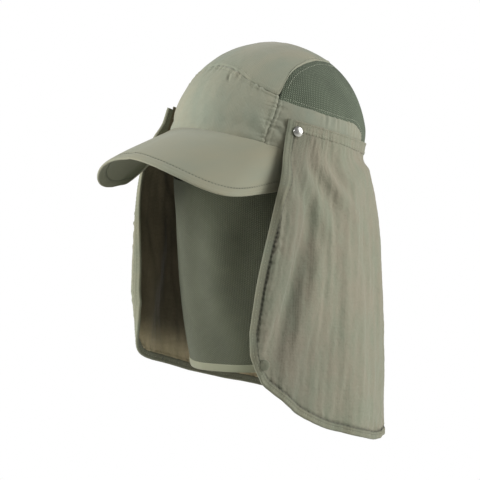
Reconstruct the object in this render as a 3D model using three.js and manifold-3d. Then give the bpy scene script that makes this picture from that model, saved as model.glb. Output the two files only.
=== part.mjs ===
// Legionnaire cap: a stiffened peak, a crown of woven panels and mesh, a long neck flap that is snapped
// on at the temples, and a mesh veil that hangs inside the flap in front of the face and neck.
// Millimetres, +Z up, the peak points along -Y, +X is the wearer's left.
// The origin is the centre of the head opening.
import * as THREE from "three";
import * as BufferGeometryUtils from "three/addons/utils/BufferGeometryUtils.js";
import Module from "manifold-3d";

const wasm = await Module();
wasm.setup();

// Crown: half sizes of the dome over a head of about 58 cm, and the backward tilt of its rim plane
const HEAD_HALF_WIDTH = 82;
const HEAD_HALF_FRONT = 102;
const HEAD_HALF_BACK = 107.5;
const CROWN_HEIGHT = 101.4;
const CROWN_BACK_LEAN = 5.8;
const CROWN_ROUNDNESS = 2.1;
const RIM_TILT = 15.3;

// Cloth thicknesses and the sewing gap that is kept between neighbouring pieces
const WOVEN_THICKNESS = 1.4;
const MESH_THICKNESS = 1.1;
const BAND_THICKNESS = 2.2;
const FLAP_THICKNESS = 1.2;
const BINDING_THICKNESS = 2.2;
const PEAK_THICKNESS = 3.2;
const SEAM_GAP = 0.35;
const MESH_RECESS = 0.1;

// Crown seams, as angles round the head from the front and heights above the rim plane, in degrees
const SIDE_SEAM_ANGLE = 46.3;
const RIM_HEIGHT = -3.6;
const RIM_SIDE_DIP = 3;
const JOINT_HEIGHT = -1.3;
const JOINT_END_DIP = 3.6;
const FRONT_SEAM_HEIGHT = 26.8;
const FRONT_SEAM_RISE = 10.4;
const FRONT_SEAM_SPAN = 52;
const SIDE_BAND_BEND = 112;
const SIDE_BAND_END = 137;
const SIDE_BAND_TOP = 24;
const PEAK_END_ANGLE = 52.5;
const FLAP_FRONT_ANGLE = 55.5;
const FLAP_BAND_TOP = 14.2;
const FLAP_BAND_BOTTOM = 8.2;

// Peak
const PEAK_HALF_WIDTH = 83.5;
const PEAK_CENTRE_Y = -60;
const PEAK_REACH = 108;
const PEAK_SQUARENESS = 4.6;
const PEAK_NOSE_HEIGHT = -1;
const PEAK_SIDE_DROP = 32.6;
const PEAK_REAR_RISE = 4.5;
const PEAK_CROWNING = 2;

// Neck flap: the hanging cloth is a sheet with the share s across (0 centre back, 1 front edge)
// and the depth b below its top seam
const FLAP_SIDE_SHARE = 0.64;
const FLAP_HALF_WIDTH_TOP = 85;
const FLAP_HALF_WIDTH_HEM = 100;
const FLAP_BACK_TOP = 110;
const FLAP_BACK_HEM = 125;
const FLAP_FRONT_TOP = 50;
const FLAP_FRONT_DEPTH = 200;
const FLAP_DEPTH = 268;
const FLAP_EDGE_ROLL = 12;
const FLAP_ROLL_START = 0.84;
const FLAP_FALL = 2.8;
const FLAP_TOP_OFFSET = 2.2;
const FLAP_HOLD = 42;
const DEPTH_PER_DEGREE = 1.5;
const FLAP_FOLD_DEPTH = 1.3;
const FLAP_FOLD_COUNT = 7;
const HEM_LEAN = 13;
const BINDING_WIDTH = 7.5;

// How each front edge of the flap hangs: corner flare at the snap, depth over which it leaves the crown,
// reach forward and its growth with depth, the angle through which the edge rolls in towards the face,
// and how much the lower front corner is pulled up
const FRONT_EDGES = {
  left: { flare: 2, hold: 42, advance: 62, start: 1.15, ease: 1.45, roll: 80, lift: 0 },
  right: { flare: 12, hold: 18, advance: 45, start: 1, ease: 3.6, roll: 125, lift: 7 },
};

// Hem depth of the flap by share across: the depth is a share of FLAP_DEPTH
const HEM_SHARES = [
  { across: 0, depth: 1 },
  { across: 0.3, depth: 1.003 },
  { across: 0.42, depth: 1 },
  { across: 0.55, depth: 0.985 },
  { across: 0.68, depth: 0.96 },
  { across: 0.79, depth: 0.918 },
  { across: 0.88, depth: 0.883 },
  { across: 0.94, depth: 0.838 },
  { across: 0.967, depth: 0.795 },
  { across: 0.985, depth: 0.75 },
  { across: 1, depth: 0.672 },
];

// Face veil
const VEIL_HALF_ANGLE = 104;
const VEIL_TOP_FRONT_Z = -27;
const VEIL_FRONT_ANGLE = 42;
const VEIL_RIM_ANGLE = 74;
const VEIL_HEM_Z = -201;
const VEIL_HEM_WIDTH = 6;
const VEIL_HALF_WIDTH_TOP = 83;
const VEIL_REACH_TOP = 95;
const VEIL_HALF_WIDTH_HEM = 71;
const VEIL_REACH_HEM = 73;

// Snaps
const SNAP_ACROSS = 0.915;
const SNAP_HEIGHT = 10.4;
const SNAP_CAP_RADIUS = 4.7;
const SNAP_CAP_HEIGHT = 2.2;
const SNAP_POST_RADIUS = 1.2;
const SNAP_LIFT = 0.6;
const LOWER_SNAP_ACROSS = { left: 0.928, right: 0.89 };
const LOWER_SNAP_DEPTH = 0.772;
const LOWER_CAP_RADIUS = 4;
const HOLE_CLEARANCE = 0.4;

// Facets of the sheets
const FLAP_COLUMNS = 38;
const FLAP_ROWS = 11;

const RAD = Math.PI / 180;

function smooth(x) {
  const t = Math.min(1, Math.max(0, x));
  return t * t * (3 - 2 * t);
}

// Smooth reading between the rows of a table: cubic pieces whose slopes never overshoot the rows
function lookUp(table, column, result, x) {
  const slope = (i) => (table[i + 1][result] - table[i][result]) / (table[i + 1][column] - table[i][column]);
  const last = table.length - 1;
  if (x <= table[0][column]) return table[0][result];
  if (x >= table[last][column]) return table[last][result];
  let i = 0;
  while (x > table[i + 1][column]) i += 1;
  const middle = slope(i);
  const before = i > 0 ? slope(i - 1) : middle;
  const after = i + 1 < last ? slope(i + 1) : middle;
  const start = before * middle > 0 ? (2 * before * middle) / (before + middle) : 0;
  const end = middle * after > 0 ? (2 * middle * after) / (middle + after) : 0;
  const width = table[i + 1][column] - table[i][column];
  const t = (x - table[i][column]) / width;
  return table[i][result] * (1 + 2 * t) * (1 - t) ** 2 + table[i + 1][result] * t * t * (3 - 2 * t)
    + width * (start * t * (1 - t) ** 2 - end * t * t * (1 - t));
}

// Point of the crown's outer surface in a direction given by the angle round the head and the height angle
function crownPoint(angle, height) {
  const dx = Math.sin(angle * RAD) * Math.cos(height * RAD);
  const dy = -Math.cos(angle * RAD) * Math.cos(height * RAD);
  const dz = Math.sin(height * RAD);
  const long = dy < 0 ? HEAD_HALF_FRONT : HEAD_HALF_BACK;
  const flat = (dx / HEAD_HALF_WIDTH) ** 2 + (dy / long) ** 2;
  const q = CROWN_ROUNDNESS;
  const reach = (flat ** (q / 2) + Math.abs(dz / CROWN_HEIGHT) ** q) ** (-1 / q);
  const y = dy * reach + CROWN_BACK_LEAN * ((dz * reach) / CROWN_HEIGHT) ** 2;
  const z = dz * reach;
  const c = Math.cos(RIM_TILT * RAD);
  const s = Math.sin(RIM_TILT * RAD);
  return new THREE.Vector3(dx * reach, y * c + z * s, -y * s + z * c);
}

// The same point moved along the surface normal
function crownAt(angle, height, offset) {
  const p = crownPoint(angle, height);
  const step = 0.2;
  const across = crownPoint(angle + step, height).sub(crownPoint(angle - step, height));
  const up = crownPoint(angle, height + step).sub(crownPoint(angle, height - step));
  const normal = across.cross(up);
  if (normal.length() < 1e-9) normal.set(0, Math.sin(RIM_TILT * RAD), Math.cos(RIM_TILT * RAD));
  normal.normalize();
  return p.addScaledVector(normal, offset);
}

// Lower edge of the crown as a height angle: it dips a little at the sides
function rimHeight(angle) {
  return RIM_HEIGHT - RIM_SIDE_DIP * Math.sin(Math.min(90, Math.abs(angle)) * RAD) ** 2;
}

// Where the top surface of the peak meets the crown
function jointHeight(angle) {
  return JOINT_HEIGHT - JOINT_END_DIP * (Math.abs(angle) / PEAK_END_ANGLE) ** 2;
}

// Seam between the front panel and the top panel: highest at the centre
function frontSeamHeight(angle) {
  const out = Math.min(1, Math.abs(angle) / FRONT_SEAM_SPAN);
  return FRONT_SEAM_HEIGHT + FRONT_SEAM_RISE * Math.cos(out * 90 * RAD) ** 2.8;
}

// Upper edge of the mesh by the angle round the head from the front: it climbs steeply behind the side seam
const MESH_TOP = [
  { angle: 46, height: 25.2 },
  { angle: 47.4, height: 32 },
  { angle: 50.7, height: 42.5 },
  { angle: 56.7, height: 50 },
  { angle: 69.7, height: 58.5 },
  { angle: 86, height: 63.5 },
  { angle: 120, height: 66 },
  { angle: 180, height: 66 },
];

function meshTopHeight(angle) {
  return lookUp(MESH_TOP, "angle", "height", Math.abs(angle));
}

function sideBandTop(angle) {
  const endShare = Math.max(0, (Math.abs(angle) - SIDE_BAND_BEND) / (SIDE_BAND_END - SIDE_BAND_BEND));
  const low = rimHeight(SIDE_BAND_END) + 2.5;
  return low + (SIDE_BAND_TOP - low) * Math.sqrt(Math.max(0, 1 - endShare ** 2.4));
}

// Closed body between two equal grids of points: outer[i][j] and inner[i][j]
function sheetBody(outer, inner) {
  const columns = outer.length;
  const rows = outer[0].length;
  const positions = [];
  for (const grid of [outer, inner]) {
    for (const column of grid) for (const p of column) positions.push(p.x, p.y, p.z);
  }
  const at = (side, i, j) => side * columns * rows + i * rows + j;
  const index = [];
  const quad = (a, b, c, d) => index.push(a, b, c, a, c, d);
  for (let i = 0; i < columns - 1; i += 1) {
    for (let j = 0; j < rows - 1; j += 1) {
      quad(at(0, i, j), at(0, i + 1, j), at(0, i + 1, j + 1), at(0, i, j + 1));
      quad(at(1, i, j), at(1, i, j + 1), at(1, i + 1, j + 1), at(1, i + 1, j));
    }
    quad(at(0, i + 1, 0), at(0, i, 0), at(1, i, 0), at(1, i + 1, 0));
    quad(at(0, i, rows - 1), at(0, i + 1, rows - 1), at(1, i + 1, rows - 1), at(1, i, rows - 1));
  }
  for (let j = 0; j < rows - 1; j += 1) {
    quad(at(0, 0, j), at(0, 0, j + 1), at(1, 0, j + 1), at(1, 0, j));
    quad(at(0, columns - 1, j + 1), at(0, columns - 1, j), at(1, columns - 1, j), at(1, columns - 1, j + 1));
  }
  return facingOut(positions, index);
}

// Closed disc-like body between two fans of points round a pole: rings run from the rim to the pole
function fanBody(outer, inner, outerPole, innerPole) {
  const columns = outer.length;
  const rows = outer[0].length;
  const positions = [];
  for (const grid of [outer, inner]) {
    for (const column of grid) for (const p of column) positions.push(p.x, p.y, p.z);
  }
  positions.push(outerPole.x, outerPole.y, outerPole.z, innerPole.x, innerPole.y, innerPole.z);
  const at = (side, i, j) => side * columns * rows + (i % columns) * rows + j;
  const poles = [2 * columns * rows, 2 * columns * rows + 1];
  const index = [];
  const quad = (a, b, c, d) => index.push(a, b, c, a, c, d);
  for (let i = 0; i < columns; i += 1) {
    for (let j = 0; j < rows - 1; j += 1) {
      quad(at(0, i, j), at(0, i + 1, j), at(0, i + 1, j + 1), at(0, i, j + 1));
      quad(at(1, i, j), at(1, i, j + 1), at(1, i + 1, j + 1), at(1, i + 1, j));
    }
    index.push(at(0, i, rows - 1), at(0, i + 1, rows - 1), poles[0]);
    index.push(at(1, i + 1, rows - 1), at(1, i, rows - 1), poles[1]);
    quad(at(0, i + 1, 0), at(0, i, 0), at(1, i, 0), at(1, i + 1, 0));
  }
  return facingOut(positions, index);
}

// Geometry with its triangles turned so that the enclosed volume is positive
function facingOut(positions, index) {
  let volume = 0;
  const p = (i) => new THREE.Vector3(positions[3 * i], positions[3 * i + 1], positions[3 * i + 2]);
  for (let k = 0; k < index.length; k += 3) {
    volume += p(index[k]).dot(p(index[k + 1]).cross(p(index[k + 2])));
  }
  if (volume < 0) {
    for (let k = 0; k < index.length; k += 3) [index[k + 1], index[k + 2]] = [index[k + 2], index[k + 1]];
  }
  const geometry = new THREE.BufferGeometry();
  geometry.setAttribute("position", new THREE.Float32BufferAttribute(positions, 3));
  geometry.setIndex(index);
  return geometry;
}

// The same geometry with shared vertices and no flat triangles
function welded(geometry) {
  const bare = geometry.clone();
  bare.deleteAttribute("normal");
  bare.deleteAttribute("uv");
  const merged = BufferGeometryUtils.mergeVertices(bare, 1e-4);
  const kept = [];
  const index = merged.index.array;
  for (let k = 0; k < index.length; k += 3) {
    const [a, b, c] = [index[k], index[k + 1], index[k + 2]];
    if (a !== b && b !== c && c !== a) kept.push(a, b, c);
  }
  merged.setIndex(kept);
  return merged;
}

function toSolid(geometry) {
  const merged = welded(geometry);
  return new wasm.Manifold(new wasm.Mesh({
    numProp: 3,
    vertProperties: Float32Array.from(merged.attributes.position.array),
    triVerts: Uint32Array.from(merged.index.array),
  }));
}

function largestBody(solid) {
  const bodies = solid.decompose();
  return bodies.reduce((best, body) => (body.volume() > best.volume() ? body : best));
}

function fromSolid(solid) {
  const mesh = solid.getMesh();
  const geometry = new THREE.BufferGeometry();
  geometry.setAttribute("position", new THREE.Float32BufferAttribute(mesh.vertProperties, 3));
  geometry.setIndex(Array.from(mesh.triVerts));
  return geometry;
}

// A geometry made along +Z, turned to stand along a direction at a point
function stand(geometry, point, direction) {
  const turn = new THREE.Quaternion().setFromUnitVectors(new THREE.Vector3(0, 0, 1), direction);
  return geometry.applyQuaternion(turn).translate(point.x, point.y, point.z);
}

// Crown panels are thick patches of the dome between two angles, with a lower and an upper edge
function crownPatch(from, to, columns, rows, low, high, thickness) {
  const outer = [];
  const inner = [];
  for (let i = 0; i <= columns; i += 1) {
    const angle = from + ((to - from) * i) / columns;
    const bottom = low(angle);
    const top = high(angle);
    const outerColumn = [];
    const innerColumn = [];
    for (let j = 0; j <= rows; j += 1) {
      const height = bottom + ((top - bottom) * j) / rows;
      outerColumn.push(crownAt(angle, height, 0));
      innerColumn.push(crownAt(angle, height, -thickness));
    }
    outer.push(outerColumn);
    inner.push(innerColumn);
  }
  return sheetBody(outer, inner);
}

const GAP_ANGLE = (SEAM_GAP / HEAD_HALF_WIDTH / RAD) / 2;

const frontPanel = crownPatch(
  -SIDE_SEAM_ANGLE + GAP_ANGLE, SIDE_SEAM_ANGLE - GAP_ANGLE, 18, 7,
  rimHeight, (angle) => frontSeamHeight(angle) - GAP_ANGLE, WOVEN_THICKNESS,
);

function sideBand(side) {
  return crownPatch(
    side * (SIDE_SEAM_ANGLE + GAP_ANGLE), side * SIDE_BAND_END, 16, 4,
    rimHeight, (angle) => sideBandTop(angle) - GAP_ANGLE, WOVEN_THICKNESS,
  );
}

// The mesh runs round the back from one side seam to the other
function meshLow(angle) {
  const round = Math.abs(angle) > 180 ? 360 - Math.abs(angle) : Math.abs(angle);
  if (round >= SIDE_BAND_END + 2 * GAP_ANGLE) return rimHeight(round);
  return sideBandTop(Math.min(round, SIDE_BAND_END)) + GAP_ANGLE;
}

function meshHigh(angle) {
  const round = Math.abs(angle) > 180 ? 360 - Math.abs(angle) : Math.abs(angle);
  return meshTopHeight(round) - GAP_ANGLE;
}

function crownMeshBody() {
  const angles = [];
  const half = [46.9, 48, 49.4, 51, 53.5, 57, 62, 68, 75, 83, 91, 99, 107, 114, 120, 125, 129, 132, 134.6, 136.2,
    137, 137.9, 142, 150, 160, 170, 180];
  for (const angle of half) angles.push(angle);
  for (let i = half.length - 2; i >= 0; i -= 1) angles.push(360 - half[i]);
  const rows = 7;
  const outer = [];
  const inner = [];
  for (const angle of angles) {
    const bottom = meshLow(angle);
    const top = meshHigh(angle);
    const outerColumn = [];
    const innerColumn = [];
    for (let j = 0; j <= rows; j += 1) {
      const height = bottom + ((top - bottom) * j) / rows;
      outerColumn.push(crownAt(angle, height, -MESH_RECESS));
      innerColumn.push(crownAt(angle, height, -MESH_RECESS - MESH_THICKNESS));
    }
    outer.push(outerColumn);
    inner.push(innerColumn);
  }
  return sheetBody(outer, inner);
}

// The top panel closes the crown: its outline is the front seam and the two arcs of the mesh
function topPanelBody() {
  const angles = [];
  for (let a = -44; a <= 44; a += 5.5) angles.push(a);
  for (const a of [45.9, 46.9, 48.4, 50, 53, 57, 62, 69, 77, 86, 95, 106, 118, 130, 142, 155, 168]) angles.push(a);
  angles.push(180);
  for (const a of [168, 155, 142, 130, 118, 106, 95, 86, 77, 69, 62, 57, 53, 50, 48.4, 46.9, 45.9]) {
    angles.push(360 - a);
  }
  const edge = (angle) => {
    const round = angle > 180 ? 360 - angle : Math.abs(angle);
    if (round <= SIDE_SEAM_ANGLE) return frontSeamHeight(round) + GAP_ANGLE;
    return meshTopHeight(round + 0.35) + 1.5 * GAP_ANGLE;
  };
  const rings = 5;
  const outer = [];
  const inner = [];
  for (const angle of angles) {
    const outerColumn = [];
    const innerColumn = [];
    for (let j = 0; j < rings; j += 1) {
      const height = edge(angle) + ((90 - edge(angle)) * j) / rings;
      outerColumn.push(crownAt(angle, height, 0));
      innerColumn.push(crownAt(angle, height, -WOVEN_THICKNESS));
    }
    outer.push(outerColumn);
    inner.push(innerColumn);
  }
  return fanBody(outer, inner, crownAt(0, 90, 0), crownAt(0, 90, -WOVEN_THICKNESS));
}

// Peak: ruled from the joint line on the crown to its edge line, crowned between them
function peakEdge(share) {
  const turn = share * 90 * RAD;
  const power = 2 / PEAK_SQUARENESS;
  const x = PEAK_HALF_WIDTH * Math.sign(Math.sin(turn)) * Math.abs(Math.sin(turn)) ** power;
  const y = PEAK_CENTRE_Y - PEAK_REACH * Math.abs(Math.cos(turn)) ** power;
  const z = PEAK_NOSE_HEIGHT - PEAK_SIDE_DROP * (Math.abs(x) / PEAK_HALF_WIDTH) ** 2.2
    + PEAK_REAR_RISE * smooth((Math.abs(share) - 0.6) / 0.4);
  return new THREE.Vector3(x, y, z);
}

function peakTop(share, out) {
  const angle = share * PEAK_END_ANGLE;
  const joint = crownAt(angle, jointHeight(angle), SEAM_GAP);
  const point = joint.lerp(peakEdge(share), out);
  point.z += PEAK_CROWNING * 4 * out * (1 - out) * (1 - share * share);
  return point;
}

function peakBody() {
  const columns = 28;
  const rows = 7;
  const outer = [];
  const inner = [];
  for (let i = 0; i <= columns; i += 1) {
    const share = -1 + (2 * i) / columns;
    const top = [];
    const bottom = [];
    for (let j = 0; j <= rows; j += 1) {
      const out = j / rows;
      const point = peakTop(share, out);
      const thin = j === rows ? 0.5 : 1;
      const angle = share * PEAK_END_ANGLE;
      const under = j === 0
        ? crownAt(angle, jointHeight(angle) - 1.9, SEAM_GAP)
        : point.clone().add(new THREE.Vector3(0, 0, -PEAK_THICKNESS * thin));
      top.push(point);
      bottom.push(under);
    }
    outer.push(top);
    inner.push(bottom);
  }
  return sheetBody(outer, inner);
}

// Neck flap surface
function flapAngle(across) {
  const share = Math.abs(across);
  const angle = share < FLAP_SIDE_SHARE
    ? 180 - (90 * share) / FLAP_SIDE_SHARE
    : 90 - ((90 - FLAP_FRONT_ANGLE) * (share - FLAP_SIDE_SHARE)) / (1 - FLAP_SIDE_SHARE);
  return Math.sign(across || 1) * angle;
}

function frontEdge(across) {
  return across > 0 ? FRONT_EDGES.left : FRONT_EDGES.right;
}

function cornerFlare(across) {
  return frontEdge(across).flare * smooth((Math.abs(across) - 0.952) / 0.048);
}

function flapTopPoint(across, height, offset) {
  return crownAt(flapAngle(across), height, offset + cornerFlare(across));
}

// Free hanging section at a depth: a half ellipse at the back, sides that run forward, rolled front edges
function hangingSection(across, depth) {
  const share = Math.abs(across);
  const side = Math.sign(across || 1);
  const fall = 1 - (1 - Math.min(1, depth / FLAP_DEPTH)) ** FLAP_FALL;
  const halfWidth = FLAP_HALF_WIDTH_TOP + (FLAP_HALF_WIDTH_HEM - FLAP_HALF_WIDTH_TOP) * fall;
  const back = FLAP_BACK_TOP + (FLAP_BACK_HEM - FLAP_BACK_TOP) * fall;
  const down = Math.min(1, depth / FLAP_FRONT_DEPTH);
  const edge = frontEdge(across);
  const front = -FLAP_FRONT_TOP - edge.advance * (1 - (1 - down ** edge.start) ** edge.ease);
  if (share < FLAP_SIDE_SHARE) {
    const turn = ((share / FLAP_SIDE_SHARE) * Math.PI) / 2;
    return [side * halfWidth * Math.sin(turn), back * Math.cos(turn)];
  }
  const forward = (share - FLAP_SIDE_SHARE) / (1 - FLAP_SIDE_SHARE);
  const grown = 0.03 + 0.97 * smooth((depth - 10) / 140);
  const roll = FLAP_EDGE_ROLL * grown;
  const inset = 3 * forward * forward * grown;
  if (forward < FLAP_ROLL_START) {
    return [side * (halfWidth - inset), ((front + roll) * forward) / FLAP_ROLL_START];
  }
  const turn = ((forward - FLAP_ROLL_START) / (1 - FLAP_ROLL_START)) * edge.roll * RAD;
  return [side * (halfWidth - inset - roll * (1 - Math.cos(turn))), front + roll - roll * Math.sin(turn)];
}

// Over the first depth the cloth follows the crown down to its rim, then it hangs free
function flapPoint(across, depth) {
  const start = FLAP_BAND_BOTTOM - 0.25;
  const followed = Math.max(start - depth / DEPTH_PER_DEGREE, -9);
  const top = flapTopPoint(across, start, FLAP_TOP_OFFSET);
  const near = flapTopPoint(across, followed, FLAP_TOP_OFFSET);
  const [x, y] = hangingSection(across, depth);
  const nearFront = smooth((Math.abs(across) - 0.92) / 0.08);
  const hold = FLAP_HOLD + (frontEdge(across).hold - FLAP_HOLD) * nearFront;
  const free = smooth(depth / hold);
  const fold = FLAP_FOLD_DEPTH * smooth(depth / 60)
    * Math.sin(across * FLAP_FOLD_COUNT * Math.PI + 0.9 + depth * 0.004);
  const away = new THREE.Vector2(x, y).normalize();
  return new THREE.Vector3(
    near.x * (1 - free) + x * free + away.x * fold,
    near.y * (1 - free) + y * free + away.y * fold,
    top.z - depth,
  );
}

function flapNormal(across, depth) {
  const stepAcross = 0.004;
  const stepDown = 1;
  const sideways = flapPoint(across + stepAcross, depth).sub(flapPoint(across - stepAcross, depth));
  const down = flapPoint(across, depth + stepDown).sub(flapPoint(across, Math.max(0, depth - stepDown)));
  return down.cross(sideways).normalize();
}

function flapAt(across, depth, offset) {
  return flapPoint(across, depth).addScaledVector(flapNormal(across, depth), offset);
}

function hemDepth(across) {
  const lean = HEM_LEAN * Math.sign(across) * smooth(Math.abs(across) / 0.4);
  const calm = 1 - smooth((Math.abs(across) - 0.75) / 0.17);
  const lift = frontEdge(across).lift * smooth((Math.abs(across) - 0.8) / 0.2);
  return lookUp(HEM_SHARES, "across", "depth", Math.abs(across)) * FLAP_DEPTH + lean * calm - lift;
}

// Outline of the flap as pairs of share across and depth: down the left front edge, along the hem, up the right
function flapOutline(edgeSteps, hemSteps) {
  const points = [];
  for (let i = 0; i < edgeSteps; i += 1) points.push([1, (hemDepth(1) * i) / edgeSteps]);
  for (let i = 0; i <= hemSteps; i += 1) {
    const along = 1 - (2 * i) / hemSteps;
    const across = Math.sign(along) * (1 - (1 - Math.abs(along)) ** 1.35);
    points.push([across, hemDepth(across)]);
  }
  for (let i = edgeSteps - 1; i >= 0; i -= 1) points.push([-1, (hemDepth(-1) * i) / edgeSteps]);
  return points;
}

function widthPerShare(across, depth) {
  const step = 0.01;
  const centre = Math.max(-0.97, Math.min(0.97, across));
  return flapPoint(centre + step, depth).distanceTo(flapPoint(centre - step, depth)) / (2 * step);
}

// The outline moved inwards over the cloth by a distance in millimetres
function insetOutline(outline, distance) {
  return outline.map(([across, depth], i) => {
    const before = outline[Math.max(0, i - 1)];
    const after = outline[Math.min(outline.length - 1, i + 1)];
    const scale = widthPerShare(across, depth);
    const run = (after[0] - before[0]) * scale;
    const drop = after[1] - before[1];
    const length = Math.hypot(run, drop);
    return [across + (-drop / length) * (distance / scale), depth + (run / length) * distance];
  });
}

function neckFlapBody() {
  const outline = flapOutline(8, 80);
  const hem = insetOutline(outline, BINDING_WIDTH).slice(8, -8).reverse();
  const edgeShare = (side, depth) => 1 - BINDING_WIDTH / widthPerShare(side, Math.min(depth, hemDepth(1)));
  const depthAt = (across) => {
    let i = 1;
    while (i < hem.length - 1 && hem[i][0] < across) i += 1;
    const t = (across - hem[i - 1][0]) / (hem[i][0] - hem[i - 1][0]);
    return hem[i - 1][1] + (hem[i][1] - hem[i - 1][1]) * Math.min(1, Math.max(0, t));
  };
  const outer = [];
  const inner = [];
  for (let i = 0; i <= FLAP_COLUMNS; i += 1) {
    const along = -1 + (2 * i) / FLAP_COLUMNS;
    const share = Math.sign(along) * (1 - (1 - Math.abs(along)) ** 1.35);
    const side = Math.sign(along || 1);
    const lowest = depthAt(share * edgeShare(side, hemDepth(1)));
    const outerColumn = [];
    const innerColumn = [];
    for (let j = 0; j <= FLAP_ROWS; j += 1) {
      const depth = lowest * (j / FLAP_ROWS) ** 1.2;
      const across = share * edgeShare(side, depth);
      outerColumn.push(flapAt(across, depth, 0));
      innerColumn.push(flapAt(across, depth, -FLAP_THICKNESS));
    }
    outer.push(outerColumn);
    inner.push(innerColumn);
  }
  return sheetBody(outer, inner);
}

// Binding: a folded strip round the flap's front edges and hem
function bindingBody(grown = 0) {
  const outline = flapOutline(10, 54);
  const proud = (BINDING_THICKNESS - FLAP_THICKNESS) / 2 + grown;
  const section = [
    { inset: 0, out: -0.1 + grown, back: -FLAP_THICKNESS + 0.1 - grown },
    { inset: 1.2, out: proud, back: -FLAP_THICKNESS - proud },
    { inset: BINDING_WIDTH - SEAM_GAP + grown, out: proud, back: -FLAP_THICKNESS - proud },
  ];
  const lines = section.map(({ inset }) => (inset > 0 ? insetOutline(outline, inset) : outline));
  const outer = [];
  const inner = [];
  for (let i = 0; i < outline.length; i += 1) {
    outer.push(section.map(({ out }, k) => flapAt(lines[k][i][0], Math.max(0, lines[k][i][1]), out)));
    inner.push(section.map(({ back }, k) => flapAt(lines[k][i][0], Math.max(0, lines[k][i][1]), back)));
  }
  return sheetBody(outer, inner);
}

// Folded hem along the top of the flap, snapped to the crown
function flapBandBody() {
  const columns = 40;
  const rows = 2;
  const outer = [];
  const inner = [];
  for (let i = 0; i <= columns; i += 1) {
    const along = -1 + (2 * i) / columns;
    const across = Math.sign(along) * (1 - (1 - Math.abs(along)) ** 1.3);
    const outerColumn = [];
    const innerColumn = [];
    for (let j = 0; j <= rows; j += 1) {
      const height = FLAP_BAND_BOTTOM + ((FLAP_BAND_TOP - FLAP_BAND_BOTTOM) * j) / rows;
      outerColumn.push(flapTopPoint(across, height, SEAM_GAP + 0.1 + BAND_THICKNESS));
      innerColumn.push(flapTopPoint(across, height, SEAM_GAP + 0.1));
    }
    outer.push(outerColumn);
    inner.push(innerColumn);
  }
  return sheetBody(outer, inner);
}

// Veil: its top edge sits under the crown's rim at the sides and drops below the eyes in front
function veilTop(angle) {
  const atRim = smooth((Math.abs(angle) - VEIL_FRONT_ANGLE) / (VEIL_RIM_ANGLE - VEIL_FRONT_ANGLE));
  const front = new THREE.Vector3(
    VEIL_HALF_WIDTH_TOP * Math.sin(angle * RAD), -VEIL_REACH_TOP * Math.cos(angle * RAD), VEIL_TOP_FRONT_Z,
  );
  const rim = crownAt(angle, rimHeight(angle), -0.1);
  rim.z -= SEAM_GAP + 0.1;
  return front.lerp(rim, atRim);
}

function veilPoint(angle, down, offset) {
  const top = veilTop(angle);
  const narrowing = down ** 1.6;
  const away = new THREE.Vector3(Math.sin(angle * RAD), -Math.cos(angle * RAD), 0);
  const x = top.x + (VEIL_HALF_WIDTH_HEM * away.x - top.x) * narrowing;
  const y = top.y + (VEIL_REACH_HEM * away.y - top.y) * narrowing;
  const z = top.z + (VEIL_HEM_Z - top.z) * down;
  return new THREE.Vector3(x, y, z).addScaledVector(away, offset);
}

function veilBody(fromDown, toDown, rows, outside, thickness) {
  const columns = 28;
  const outer = [];
  const inner = [];
  for (let i = 0; i <= columns; i += 1) {
    const angle = VEIL_HALF_ANGLE * (-1 + (2 * i) / columns);
    const outerColumn = [];
    const innerColumn = [];
    for (let j = 0; j <= rows; j += 1) {
      const down = fromDown + ((toDown - fromDown) * j) / rows;
      outerColumn.push(veilPoint(angle, down, outside));
      innerColumn.push(veilPoint(angle, down, outside - thickness));
    }
    outer.push(outerColumn);
    inner.push(innerColumn);
  }
  return sheetBody(outer, inner);
}

const VEIL_HEM_SHARE = 1 - VEIL_HEM_WIDTH / (VEIL_TOP_FRONT_Z - VEIL_HEM_Z);

// Snaps: a domed cap on a post that passes through a hole in the cloth
function snapProfile(radius, height, postRadius, postLength) {
  const profile = [new THREE.Vector2(0, height)];
  for (let k = 1; k <= 4; k += 1) {
    const turn = (k / 4) * 80 * RAD;
    profile.push(new THREE.Vector2(radius * Math.sin(turn) / Math.sin(80 * RAD),
      0.5 + (height - 0.5) * Math.cos(turn) ** 0.9));
  }
  profile.push(new THREE.Vector2(radius, 0));
  profile.push(new THREE.Vector2(postRadius, 0));
  profile.push(new THREE.Vector2(postRadius, -postLength));
  profile.push(new THREE.Vector2(0, -postLength));
  return profile.reverse();
}

function lathed(profile) {
  const geometry = new THREE.LatheGeometry(profile, 16);
  geometry.rotateX(Math.PI / 2);
  return geometry;
}

const group = new THREE.Group();

function addMesh(name, geometry, colour, roughness, metalness = 0) {
  const material = new THREE.MeshStandardMaterial({ color: colour, roughness, metalness });
  const body = welded(geometry);
  body.computeVertexNormals();
  const mesh = new THREE.Mesh(body, material);
  mesh.name = name;
  group.add(mesh);
}

const WOVEN_COLOUR = 0x8f927f;
const FLAP_COLOUR = 0x8e8e7a;
const MESH_COLOUR = 0x58614f;
const HEM_COLOUR = 0xaeae96;
const METAL_COLOUR = 0xb9bab6;

function snapPlace(side) {
  const base = flapTopPoint(side * SNAP_ACROSS, SNAP_HEIGHT, 0);
  const tip = flapTopPoint(side * SNAP_ACROSS, SNAP_HEIGHT, 1);
  return { base, direction: tip.clone().sub(base).normalize() };
}

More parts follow.
